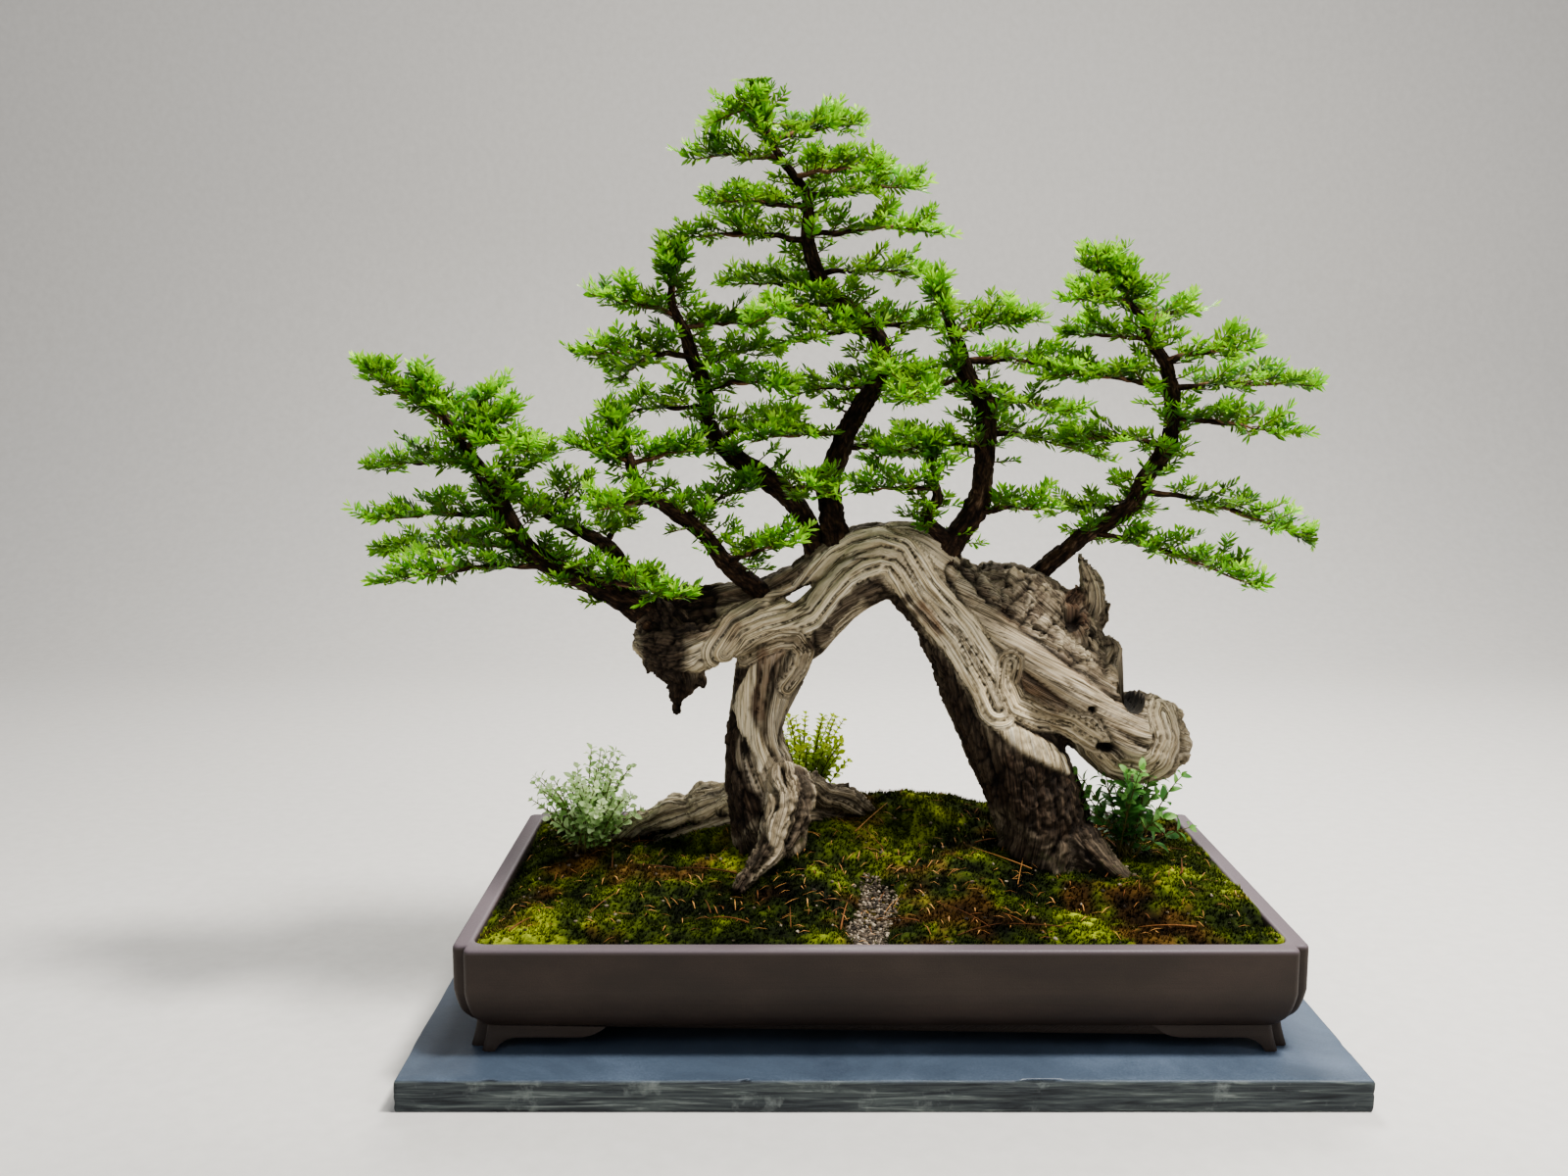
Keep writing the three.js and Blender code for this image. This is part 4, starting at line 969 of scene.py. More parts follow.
# Bark share, paleness and groove depth of each limb
LIMB_LOOK = {
    "leftLeg": (0.12, 0.28, 0.7), "leftArch": (0.0, 0.6, 0.7), "snout": (0.0, 0.6, 0.9),
    "jaw": (0.95, 0.2, 1.2), "liveLimb": (0.55, 0.25, 0.6), "rightLeg": (0.45, 0.25, 1.0),
    "log": (0.0, 0.26, 0.7), "hump": (0.6, 0.3, 1.0),
    "spike": (0.1, 0.4, 1.5), "spikeEdge": (0.4, 0.3, 1.4), "spikeBack": (0.3, 0.3, 1.4),
    "knob": (0.3, 0.3, 1.2), "crest": (0.6, 0.3, 1.3), "lip": (0.0, 0.6, 1.2),
    "head": (0.9, 0.3, 1.4), "shardOne": (0.9, 0.3, 1.4), "shardTwo": (0.9, 0.3, 1.4),
    "bridge": (0.5, 0.2, 0.8),
    "leftRoot": (0.0, 0.62, 1.5), "rightRoot": (0.35, 0.35, 1.6), "frontRoot": (0.0, 0.42, 1.6),
    "heelRoot": (0.6, 0.2, 0.9), "rightFoot": (0.5, 0.3, 1.3), "leftFoot": (0.1, 0.5, 1.3),
}
# Spacing of the skin that joins the limbs
VOXEL = 2.25
# Raised strips of bleached wood: points on the surface with half-width, height and paleness
STRIPS = [
    ([(-140, 368, 3.0), (-104, 372, 5.0), (-70, 388, 5.0), (-44, 404, 3.0)], 2.0, 0.7),
    ([(-106, 322, 2.5), (-109, 304, 6.0), (-115, 289, 7.5), (-118, 275, 8.0), (-114, 260, 8.0),
      (-106, 247, 8.0), (-99, 234, 6.0), (-101, 220, 2.0)], 3.4, 1.0),
    ([(-74, 358, 4.0), (-61, 350, 7.5), (-60, 332, 8.5), (-68, 312, 9.0), (-79, 292, 9.0), (-88, 270, 8.0),
      (-90, 246, 5.5), (-84, 232, 2.0)], 2.8, 0.55),
    ([(84, 322, 4.0), (96, 304, 7.6), (106, 286, 8.3), (117, 268, 8.6), (131, 256, 9.6), (146, 247, 11.0),
      (160, 239, 10.5), (172, 230, 8.0), (181, 220, 3.0)], 3.0, 0.74),
    ([(73, 405, 4.7), (100, 367, 9.4), (133, 336, 11.8), (169, 308, 13.0), (205, 284, 11.8), (241, 264, 9.5),
      (269, 246, 4.8)], 1.6, 0.5),
    ([(125, 286, 2.4), (146, 270, 5.3), (188, 255, 5.9), (220, 235, 6.0), (250, 213, 3.0)], 2.8, 0.6),
]
# Hollows, painted nearly black inside as painted shade: middle, size and the way that they go in
HOLLOWS = [
    ((239, -10, 296), (14, 44, 24), (0, -0.35, -1)),
    ((199, -40, 281), (3.2, 12, 3.2), (0, 1, 0)),
    ((-116, -22, 241), (3.6, 14, 12), (0, 1, 0)),
    ((214, -34, 246), (10, 12, 5), (-0.2, 1, -0.1)),
    ((-138, 38, 168), (9, 12, 8), (0, 0.4, -1)),
    ((-168, 36, 152), (6, 10, 5), (0, 0.5, -1)),
    ((186, -6, 358), (8, 16, 12), (0, 0.5, -1)),
    ((-98, -40, 176), (4, 12, 12), (0, 1, 0)),
]
# Folds that the wood has grown round a bend: points, reach, spacing of the bands, their height and paleness
FOLDS = [
    ([(-132, 330), (-118, 350), (-98, 359), (-76, 364), (-58, 371), (-43, 391), (-28, 407), (-11, 417),
      (8, 423), (24, 419), (35, 403), (46, 385), (65, 364), (80, 347), (93, 326), (107, 303), (115, 284)],
     25, 8.6, 2.2, 0.85),
    ([(194, 262), (206, 240), (222, 224), (245, 218), (263, 230), (273, 252), (268, 274)], 19, 6.4, 2.2, 0.6),
    ([(126, 322), (123, 302), (131, 283), (153, 272), (180, 265), (204, 250)], 14, 5.2, 1.8, 0.5),
    ([(-117, 323), (-101, 335), (-83, 342), (-68, 342), (-59, 330), (-63, 314), (-76, 296)],
     11, 6.0, 1.6, 0.5),
]
# Inner edges of the arch painted as dark bark, partly the bark left at the edge of the bleached wood and
# partly painted shade: points and reach
DARK_EDGES = [
    ([(-51, 338), (-38, 355), (-24, 372), (-7, 387), (8, 390), (20, 376)], 7),
    ([(24, 372), (33, 377)], 6),
    ([(28, 360), (52, 318), (78, 279), (92, 243), (110, 200)], 14),
]
# Knots: middle, radius, spacing of the rings and their height
KNOTS = [((67, -34, 348), 9, 4.2, 0.9), ((30, -24, 377), 7, 3.6, 0.8), ((-84, -36, 168), 12, 5, 1.0)]
# Paths in x and z over the head at the left end, the rough hump and the root in front
HEAD = [(-160, 376), (-190, 356), (-192, 300)]
HUMP = [(95, 398), (140, 378), (186, 350), (206, 330)]
TOE = [(-74, 216), (-80, 196), (-92, 172), (-110, 150)]
# Brush marks on the wood's front: path, reach, and the value that the mark takes there
BRUSH = {
    "bark": [
        (HEAD, 24, 1.0), (HUMP, 24, 0.2),
        # This bark stroke down the inner edge of the right leg also paints the shade there
        ([(-2, 391), (24, 355), (52, 316), (78, 277), (92, 241), (110, 198)], 15, 0.95),
        ([(136, 216), (160, 196), (186, 190)], 34, 0.95), ([(135, 268), (165, 248), (195, 240)], 9, 0.9),
        ([(-122, 313), (-129, 287), (-134, 250), (-136, 220), (-134, 190), (-124, 166)], 11, 1.0),
        ([(-128, 204), (-116, 184), (-108, 164)], 20, 1.0), ([(-60, 214), (-62, 186), (-70, 160)], 10, 0.8),
        (TOE, 13, 0.0), ([(-100, 160), (-112, 146), (-128, 126)], 12, 0.85),
        ([(-49, 324), (-60, 283), (-66, 253), (-58, 200)], 8, 0.8)],
    "pale": [
        (HUMP, 24, 0.28), ([(-30, 420), (-10, 440), (14, 446)], 11, 1.0), ([(264, 280), (273, 256)], 9, 1.0),
        (TOE, 13, 0.45)],
    "red": [
        ([(100, 378), (150, 330), (200, 290), (235, 268)], 13, 0.4),
        ([(-98, 328), (-97, 306), (-104, 288)], 7, 0.9),
        ([(-84, 330), (-92, 318), (-98, 300), (-102, 270)], 6, 0.6), ([(44, 373), (62, 350)], 6, 0.8),
        ([(140, 307), (170, 283)], 8, 0.6), ([(191, 391), (195, 349)], 9, 0.8),
        ([(-150, 372), (-100, 378), (-60, 398)], 9, 0.6), ([(-180, 352), (-130, 356)], 12, 0.5)],
    "craggy": [
        (HEAD, 24, 0.7), (HUMP, 26, 1.0), ([(230, 296), (262, 286), (284, 262), (284, 232)], 16, 0.6),
        ([(170, 128), (160, 180)], 40, 0.5), ([(-204, 340), (-188, 312), (-174, 290), (-178, 268)], 20, 0.8),
        ([(-150, 176), (-190, 168), (-230, 150)], 16, 0.45), ([(-60, 200), (-30, 185), (4, 165)], 18, 0.6),
        (TOE, 15, 0.5)],
}


def limb_coordinates(points, line, depth):
    """Distance along the limb, angle round it, and distance from its middle as a share of its radius."""
    centre, radius = line[:, :3], line[:, 3]
    tangent, side, front, along = line_frame(centre)
    nearest = np.zeros(len(points), np.int64)
    batch = 20000
    for start in range(0, len(points), batch):
        part = points[start:start + batch]
        apart = ((part[:, None, :] - centre[None]) ** 2).sum(-1) / radius[None] ** 2
        nearest[start:start + batch] = apart.argmin(1)
    off = points - centre[nearest]
    x = (off * side[nearest]).sum(1)
    y = (off * front[nearest]).sum(1) / depth
    ahead = (off * tangent[nearest]).sum(1)
    reach = np.sqrt(x ** 2 + y ** 2 + np.where(np.abs(ahead) > 5, ahead, 0) ** 2) / radius[nearest]
    return along[nearest] + ahead, np.arctan2(y, x), reach


def band_level(band, seed):
    """Each band's own level from 0 to 1."""
    zero = np.zeros(len(band), np.int64)
    return cell_hash(band.astype(np.int64), zero, zero, seed)


def rope(along, angle, radius, spacing, seed, twist, wander):
    """Strands that wind along a limb: the crack beside each, how high its crown is, and its own level."""
    count = max(4, round(2 * math.pi * radius / spacing))
    around = angle + twist * along
    at = np.stack([1.2 * np.cos(around), 1.2 * np.sin(around), along / 70], 1)
    warp = noise(at, seed) + 0.4 * noise(at * 2.3, seed + 1)
    u = around / (2 * math.pi) * count + wander * warp
    strand = np.floor(u)
    edge = 2 * np.minimum(u - strand, 1 - u + strand)
    present = 0.25 + 0.75 * smoothstep(noise(at * [2, 2, 1.6], seed + 3), -0.35, 0.35)
    return fade(edge, 0.0, 0.34) * present, np.sqrt(edge), band_level(np.mod(strand, count), seed + 2)


class Skin:
    """The old wood's surface: how far each point is pushed out, its cracks and painted shade, its colours and
    its grain.
    """

    def __init__(self, points, normals):
        self.points = points
        self.flat = points[:, [0, 2]]
        self.flow = np.zeros((len(points), 3))
        self.push, self.crack, self.pale, self.bark, self.red, self.craggy = np.zeros((6, len(points)))
        self.ragged = 4 * layered(points / 14, 71) + 2.5 * layered(points / 5, 73)
        self.front = smoothstep(-normals[:, 1], -0.25, 0.15) * (points[:, 1] < 12)

    def grow_strands(self, lines):
        """Thick and thin strands along each limb, blended where limbs meet."""
        total, strongest = np.zeros((2, len(self.points)))
        for number, (name, line) in enumerate(lines.items()):
            along, angle, reach = limb_coordinates(self.points, line, LIMBS[name][0])
            share = np.exp(-9 * np.clip(reach - 0.9, 0, 3)) * (reach < 2.2)
            bark, paleness, deep = LIMB_LOOK[name]
            radius = float(line[:, 3].mean())
            twist = 0.007 if number % 2 else -0.006
            wide, crown, level = rope(along, angle, radius, 17, 10 * number, twist, 1.0)
            narrow, little, tone = rope(along, angle, radius, 7.5, 10 * number + 5, twist, 1.6)
            height = 2.6 * (level - 0.5) + 1.6 * crown - 4.6 * wide
            height = height + 0.8 * (tone - 0.5) + 0.7 * little - 1.9 * narrow
            self.push += share * (height - 1.0) * deep
            self.crack += share * np.clip(0.95 * wide ** 1.5 + 0.6 * narrow ** 1.5, 0, 1)
            self.pale += share * np.clip(paleness + 0.45 * (level - 0.5) + 0.35 * (tone - 0.5), 0, 1)
            self.bark += share * bark
            total += share
            better = share > strongest
            strongest = np.where(better, share, strongest)
            around = angle + twist * along
            flow = np.column_stack([along, radius * np.cos(around), radius * np.sin(around)])
            self.flow[better] = flow[better]
        total = np.maximum(total, 1e-6)
        self.push, self.crack, self.pale, self.bark = (
            v / total for v in (self.push, self.crack, self.pale, self.bark))

    def brush(self):
        for key, strokes in BRUSH.items():
            for path, reach, value in strokes:
                far = near_path(self.flat, path)[0] + self.ragged
                share = fade(far, reach * 0.7, reach * 1.2) * (1 if key == "craggy" else self.front)
                setattr(self, key, getattr(self, key) * (1 - share) + value * share)

    def flake(self):
        """Flaking plates where the bark is left."""
        rough = self.bark
        edge, level = plates(self.flow / [24, 10, 10], 61)
        small_edge, small_level = plates(self.points / 6.5, 67)
        relief = 3.4 * (level - 0.5) - 3.0 * fade(edge, 0, 0.16) + 1.6 * (small_level - 0.5)
        relief = relief - 1.2 * fade(small_edge, 0, 0.2)
        cracks = np.clip(0.9 * fade(edge, 0, 0.2) + 0.4 * fade(small_edge, 0, 0.25), 0, 1)
        self.push = self.push * (1 - 0.6 * rough) + rough * relief
        self.crack = self.crack * (1 - 0.6 * rough) + rough * 0.8 * cracks
        self.pale = np.clip(self.pale + rough * 0.5 * (level - 0.5), 0, 1)

    def crumble(self):
        """Crags and chips where the wood is rotten."""
        warp = 0.35 * layered(self.points / 14, 5)[:, None]
        crag_edge, crag_level = plates(self.points / [22, 20, 27] + warp, 97)
        chip_edge, chip_level = plates(self.points / [9, 9, 13] + warp, 131)
        relief = 7.0 * (crag_level - 0.55) + 3.4 * (chip_level - 0.5) - 3.4 * fade(crag_edge, 0, 0.10)
        self.push = self.push + self.craggy * (relief - 1.4 * fade(chip_edge, 0, 0.14))
        cracks = np.maximum(fade(crag_edge, 0, 0.09), 0.55 * fade(chip_edge, 0, 0.12))
        self.crack = np.maximum(self.crack, self.craggy * 0.9 * cracks)
        self.pale = np.clip(self.pale + self.craggy * 0.5 * (chip_level - 0.5), 0, 1)

    def raise_strips(self):
        """Smooth bleached strips with a groove on either side."""
        for path, height, bleach in STRIPS:
            path = np.array(path, float)
            far, where = near_path(self.flat, path[:, :2])
            half = np.interp(where, np.arange(len(path)), path[:, 2])
            ratio = (far + 0.25 * self.ragged) / half
            share = fade(ratio, 0.75, 1.15) * self.front
            lip = np.exp(-((far - half * 1.25) / 2.2) ** 2) * self.front * smoothstep(half, 1.5, 4)
            lip = lip * (0.25 + 0.75 * smoothstep(noise(self.points / 24, 7 + len(path)), -0.4, 0.3))
            crown = np.sqrt(np.clip(1 - ratio ** 2, 0, 1))
            self.push = self.push * (1 - 0.55 * share) + share * height * (0.5 + 0.5 * crown) - 2.8 * lip
            self.crack = np.maximum(self.crack * (1 - 0.5 * share), 0.9 * lip)
            self.pale = np.maximum(self.pale, bleach * share)
            self.bark = self.bark * (1 - share)
            self.red = self.red * (1 - 0.6 * share)

    def fold(self):
        """Bands side by side round a bend, with thin grooves between them."""
        for number, (path, reach, spacing, height, paleness) in enumerate(FOLDS):
            far, where = near_path(self.flat, path)
            share = fade(far + 0.3 * self.ragged, reach * 0.75, reach) * self.front
            run = np.column_stack([28 * where, far, 0 * far])
            band = far / spacing + 0.3 * noise(run / [40, 9, 9], 140 + number) + 0.5
            edge = 2 * np.minimum(band - np.floor(band), np.ceil(band) - band)
            level = band_level(np.floor(band), 150 + number)
            present = 0.4 + 0.6 * smoothstep(noise(run / [30, 6, 6], 160 + number), -0.4, 0.2)
            groove = fade(edge, 0, 0.3) * present
            relief = height * (np.sqrt(np.clip(edge, 0, 1)) - 0.6) + 1.8 * (level - 0.5) - 3.0 * groove
            self.push = self.push * (1 - 0.8 * share) + share * relief
            self.crack = self.crack * (1 - 0.85 * share) + share * 0.95 * groove
            self.pale = self.pale * (1 - share) + share * np.clip(paleness + 0.5 * (level - 0.5), 0, 1)
            self.bark = self.bark * (1 - share)
            folded = share > 0.5
            self.flow[folded] = run[folded]

    def darken_edges(self):
        # Paints the inner edges of the arch dark as bark, partly as painted shade
        shaded = np.zeros(len(self.points))
        for path, reach in DARK_EDGES:
            far = near_path(self.flat, path)[0] + self.ragged
            shaded = np.maximum(shaded, fade(far, reach * 0.7, reach * 1.2) * self.front)
        self.bark = np.maximum(self.bark, 0.92 * shaded)

    def tie_knots(self):
        """Rings of grain round each knot."""
        for middle, radius, spacing, height in KNOTS:
            off = self.points - middle
            far = np.hypot(np.hypot(off[:, 0], off[:, 2] * 1.3), off[:, 1] * 0.7) + 0.9 * self.ragged
            share = fade(far, radius * 0.5, radius)
            waves = np.cos(far * 2 * math.pi / spacing + 0.8 * np.arctan2(off[:, 2], off[:, 0]))
            self.push = self.push * (1 - 0.7 * share) + share * height * waves
            self.crack = self.crack * (1 - 0.6 * share) + share * 0.5 * np.clip(-waves, 0, 1) ** 2

    def sink_hollows(self):
        """Pushes each point inside a hollow through to its far wall, and paints the hollow and a ring round it
        dark as painted shade.
        """
        for middle, size, way in HOLLOWS:
            way = np.array(way, float) / np.linalg.norm(way)
            off = (self.points - middle) / size
            step = way / size
            excess = (off ** 2).sum(1) - 1
            inside = excess < 0
            b = off @ step
            a = step @ step
            travel = (-b + np.sqrt(np.maximum(b * b - a * excess, 0))) / a
            self.points = np.where(inside[:, None], self.points + travel[:, None] * way, self.points)
            # The inside of the hollow and a ring round it are painted dark: painted shade
            rim = np.clip(0.5 - excess, 0, 1) * 0.7
            self.crack = np.maximum(self.crack, np.where(inside, 0.92, rim))


def make_old_wood():
    """The limbs as fluted tubes joined into one skin, which then gets its relief and its marks."""
    lines = {name: dense_line(stations, 3.0) for name, (_, stations) in LIMBS.items()}
    points, faces = [], []
    start = 0
    for number, (name, line) in enumerate(lines.items()):
        def flutes(angle, along, seed=number, deep=LIMB_LOOK[name][2]):
            at, shape = drum(angle, along, 1.6, 85, 0.004)
            scale = 1 + 0.10 * deep * noise(at, seed) + 0.05 * deep * noise(at * 2.3, seed + 50)
            return scale.reshape(shape)

        around, quads, caps, _ = tube(line, 40, LIMBS[name][0], flutes)
        points.append(around)
        faces += (quads + start).tolist() + (caps + start).tolist()
        start += len(around)
    wood = loose_object("old_wood", np.vstack(points), faces)
    remesh = wood.modifiers.new("remesh", "REMESH")
    remesh.mode = "VOXEL"
    remesh.voxel_size = VOXEL * MM
    bake(wood)
    mesh = wood.data
    normals = get_vectors(mesh, "normal").astype(float)
    skin = Skin(get_vectors(mesh, "co").astype(float) / MM, normals)
    skin.grow_strands(lines)
    skin.brush()
    skin.flake()
    skin.crumble()
    skin.raise_strips()
    skin.fold()
    skin.darken_edges()
    skin.tie_knots()
    fine = 0.5 * layered(skin.points / 4, 81)
    skin.points = skin.points + normals * (skin.push + fine)[:, None]
    skin.sink_hollows()
    # Within 14 mm above the soil the wood is made darker, with more bark and green
    above = skin.points[:, 2] - soil_base(skin.points[:, 0], skin.points[:, 1])
    low = fade(above + skin.ragged, 4, 26)
    crack = np.maximum(skin.crack, 0.5 * fade(above, 0, 14))
    mesh.vertices.foreach_set("co", (skin.points * MM).astype(np.float32).ravel())
    mesh.update()
    set_values(mesh, {
        "crack": np.clip(crack, 0, 1), "green": low * 0.7, "flow": skin.flow * MM,
        "pale": skin.pale, "bark": np.clip(skin.bark + 0.15 * low, 0, 1), "red": skin.red})
    mesh.materials.clear()
    dress(wood, [WOOD], ["trunk_and_branches"])


# Live trunks and branches

# Each trunk: its stations of x, y, z and radius, then the shoots of its crown as a height on the trunk and a
# tip, then its branches as a height on the trunk and the tips of one or two sprays
TRUNKS = [
    ([(-199, 8, 360, 20), (-224, 5, 375, 15), (-261, 2, 394, 12), (-294, 0, 408, 11), (-318, -2, 427, 11),
      (-334, 0, 456, 10), (-354, 4, 492, 8), (-370, 4, 514, 6), (-380, 2, 533, 5), (-396, 0, 560, 2.5)],
     [(537, -450, -20, 583), (525, -300, -45, 512), (526, -346, 30, 566), (512, -322, -18, 548)],
     [(500, -460, 44, 494), (469, -305, 60, 505), (453, -448, -30, 451), (425, -458, 55, 411),
      (406, -431, -58, 400), (393, -173, -70, 386)]),
    ([(-102, 12, 382, 12), (-134, -15, 415, 9), (-151, -22, 439, 8), (-175, -28, 457, 8), (-197, -30, 472, 7),
      (-211, -30, 488, 6), (-217, -30, 509, 5), (-224, -30, 526, 3)],
     [(503, -253, -50, 516), (501, -164, -38, 514)],
     [(453, -113, -5, 479), (467, -237, -85, 465), (412, -74, -75, 434)]),
    ([(-46, 25, 405, 15), (-59, 28, 446, 11), (-79, 28, 473, 11), (-129, 22, 509, 11), (-146, 19, 532, 9),
      (-151, 16, 568, 8), (-161, 14, 593, 7.5), (-168, 12, 615, 6.5), (-180, 9, 644, 4.5),
      (-179, 8, 671, 2.5)],
     [(633, -240, -15, 649), (622, -108, 50, 627)],
     [(595, -251, -35, 597, -235, 78, 574), (586, -90, 70, 609), (552, -242, 40, 542), (569, -79, -45, 571),
      (524, -73, 85, 537), (474, -37, -60, 477)]),
    ([(-28, 24, 424, 17), (-37, 24, 464, 13), (-36, 20, 489, 12), (-17, 14, 538, 11), (6, 10, 578, 10.5),
      (8, 10, 609, 10), (-7, 12, 628, 9), (-38, 14, 655, 8.5), (-51, 12, 677, 8), (-57, 10, 700, 7),
      (-57, 8, 726, 5.7), (-61, 6, 743, 5), (-81, 2, 769, 4), (-91, 0, 786, 3.2), (-100, 0, 814, 2)],
     [(814, -132, -14, 802), (785, -19, 24, 802), (770, -157, 20, 772), (754, 1, -35, 756)],
     [(736, 41, 30, 748), (726, -138, -40, 727), (700, -176, 25, 703), (704, 48, -32, 703), (670, 47, 60, 675),
      (654, -129, 66, 665), (644, -103, -62, 625), (622, 66, 55, 623), (619, -66, -48, 609),
      (569, -68, 62, 563), (590, 36, -95, 555), (528, -107, -30, 521), (516, 66, 70, 500)]),
    ([(64, 0, 408, 18), (76, -4, 432, 14), (89, -8, 451, 13), (98, -10, 471, 12), (100, -10, 495, 10),
      (103, -7, 540, 10.5), (98, -4, 561, 10), (87, -2, 576, 9.5), (80, 0, 593, 8.5), (78, 1, 607, 7.5),
      (71, 2, 624, 5.5), (63, 2, 642, 3.5)],
     [(618, 135, -40, 628)],
     [(593, 197, 40, 584), (576, 22, -28, 562), (558, 167, -66, 545), (530, 215, 55, 504), (519, 1, -30, 507),
      (456, 148, -40, 462)]),
    ([(145, 34, 380, 12), (163, 34, 399, 10), (183, 32, 416, 9), (205, 30, 435, 9), (228, 26, 449, 9.5),
      (245, 22, 465, 10), (254, 20, 486, 9), (269, 18, 510, 9), (275, 16, 529, 8.5), (275, 14, 560, 8),
      (270, 12, 580, 7.5), (263, 10, 597, 6), (249, 8, 612, 5), (245, 6, 628, 4), (230, 4, 646, 3),
      (224, 4, 661, 2)],
     [(659, 191, -10, 673), (646, 173, -34, 645), (626, 290, 34, 638), (612, 186, 40, 617)],
     [(593, 320, -40, 601), (569, 153, -30, 579), (567, 403, 10, 570), (540, 357, -52, 528),
      (516, 181, 5, 523), (476, 413, 30, 427), (458, 190, 62, 454), (435, 340, -48, 393)]),
]
# Side forks: stations and branches
FORKS = [
    ([(-212, 18, 376, 9), (-242, 28, 420, 7.5), (-283, 32, 443, 5.5), (-316, 34, 458, 4)],
     [(445, -283, 72, 480), (422, -231, 88, 452)]),
    ([(76, -6, 426, 9), (49, -16, 452, 7), (58, -24, 470, 5.5), (56, -26, 484, 4)],
     [(479, -10, -55, 478)]),
]
# Branches: radius at the foot and at the end of the bare part, how far they arch, and the share that is bare
BRANCH = {"radius": 3.2, "end": 1.5, "arch": 0.07, "bare": 0.62}


def point_at_height(line, height):
    line = np.array(line, float)
    for a, b in zip(line[:-1], line[1:]):
        if a[2] <= height <= b[2]:
            return (a + (b - a) * (height - a[2]) / max(b[2] - a[2], 1e-6))[:3]
    return line[0, :3]


def end_of(line):
    """The last point of a line of stations, and the way that it ends in."""
    before, last = (np.array(station[:3], float) for station in line[-2:])
    return last, unit(last - before)


def arched(start, tip):
    middle = (start + tip) / 2 + np.array([0, 0, BRANCH["arch"] * np.linalg.norm(tip - start)])
    return np.array([start, middle, tip])


def on_curve(curve, t):
    t = np.asarray(t, float)[..., None]
    return curve[0] * (1 - t) ** 2 + 2 * curve[1] * t * (1 - t) + curve[2] * t ** 2


def curve_way(curve, t):
    t = np.asarray(t, float)[..., None]
    return unit(2 * (curve[1] - curve[0]) * (1 - t) + 2 * (curve[2] - curve[1]) * t)


def wobbles(at, seed):
    """A shift in x, y and z for each row of at."""
    return np.stack([noise(at, seed + k) for k in range(3)], 1)


BOX_MARGIN = 0.2
CAD_LOW, CAD_HIGH = (pick(np.array(cad_bounds, float), axis=0) / MM for pick in (np.min, np.max))


class Shape:
    """Points, triangles and values that pile up into one mesh."""

    def __init__(self):
        self.points, self.faces, self.material, self.values = [], [], [], {}
        self.count = 0

    def add(self, points, faces, material=0, **values):
        """Adds faces. Each name takes a number or vector for each point, or one number for all of them."""
        faces = np.asarray(faces)
        faces = triangles(faces) if faces.shape[1] == 4 else faces
        self.points.append(points)
        self.faces.append(faces + self.count)
        self.material.append(np.full(len(faces), material))
        for key, value in values.items():
            value = np.asarray(value, float)
            if value.ndim == 0:
                value = np.full(len(points), float(value))
            self.values.setdefault(key, []).append(value)
        self.count += len(points)

    def build(self, name, materials, replaced=()):
        """Makes the piece, kept within the box of the CAD model."""
        points = np.clip(np.vstack(self.points), CAD_LOW + BOX_MARGIN, CAD_HIGH - BOX_MARGIN)
        values = {key: np.concatenate(parts) for key, parts in self.values.items()}
        add_piece(name, points, np.vstack(self.faces), materials, replaced, values,
                  np.concatenate(self.material))


def add_stem(shape, line, sides, seed, knobbly):
    """A barked stem: a tube with flaky ridges, knobs and old scars."""
    def skin(angle, along):
        at, full = drum(angle, along, 1.3, 22, 0.02)
        edge, level = plates(at * [2.2, 2.2, 2.0], seed)
        flakes = (level - 0.5) * 0.7 - 0.6 * fade(edge, 0, 0.25)
        return (1 + knobbly * (1.1 * layered(at, seed) + flakes)).reshape(full)

    points, quads, caps, flow = tube(line, sides, 1.0, skin)
    at = np.column_stack([flow[:, 0] / 11, flow[:, 1:] / max(line[:, 3].mean(), 1) * 2.86])
    edge, level = plates(at, seed)
    dark = np.clip(0.75 * fade(edge, 0, 0.3) + 0.35 * (0.6 - level), 0, 0.85)
    shape.add(points, triangles(quads, caps), flow=flow * MM, crack=dark)


def make_live_wood():
    shape = Shape()
    steps = 18
    for number, (line, _, branches) in enumerate(TRUNKS + [(line, [], branches) for line, branches in FORKS]):
        slim = [(x, y, z, max(0.9 * radius, 1.3)) for x, y, z, radius in line]
        add_stem(shape, dense_line(slim, 2.2), 24, 100 + number, 0.21)
        for b, (height, *tips) in enumerate(branches):
            curve = arched(point_at_height(line, height), np.array(tips[:3], float))
            t = np.linspace(0, BRANCH["bare"], steps)
            radius = BRANCH["radius"] + (BRANCH["end"] - BRANCH["radius"]) * t / BRANCH["bare"]
            at = np.column_stack([t * 9, np.full(steps, float(b)), np.full(steps, float(number))])
            centre = on_curve(curve, t) + 2.0 * wobbles(at, 5) * (t[:, None] > 0)
            add_stem(shape, np.column_stack([centre, radius]), 8, 200 + 20 * number + b, 0.32)
    shape.build("live_trunks", [BARK], ["trunk_and_branches"])


# Foliage

NEEDLE = {"length": 12.4, "width": 2.9, "pitch": 2.8}
# Nearly upright, so that no branch points exactly along it
UP = np.array([0.01, 0.02, 1.0])


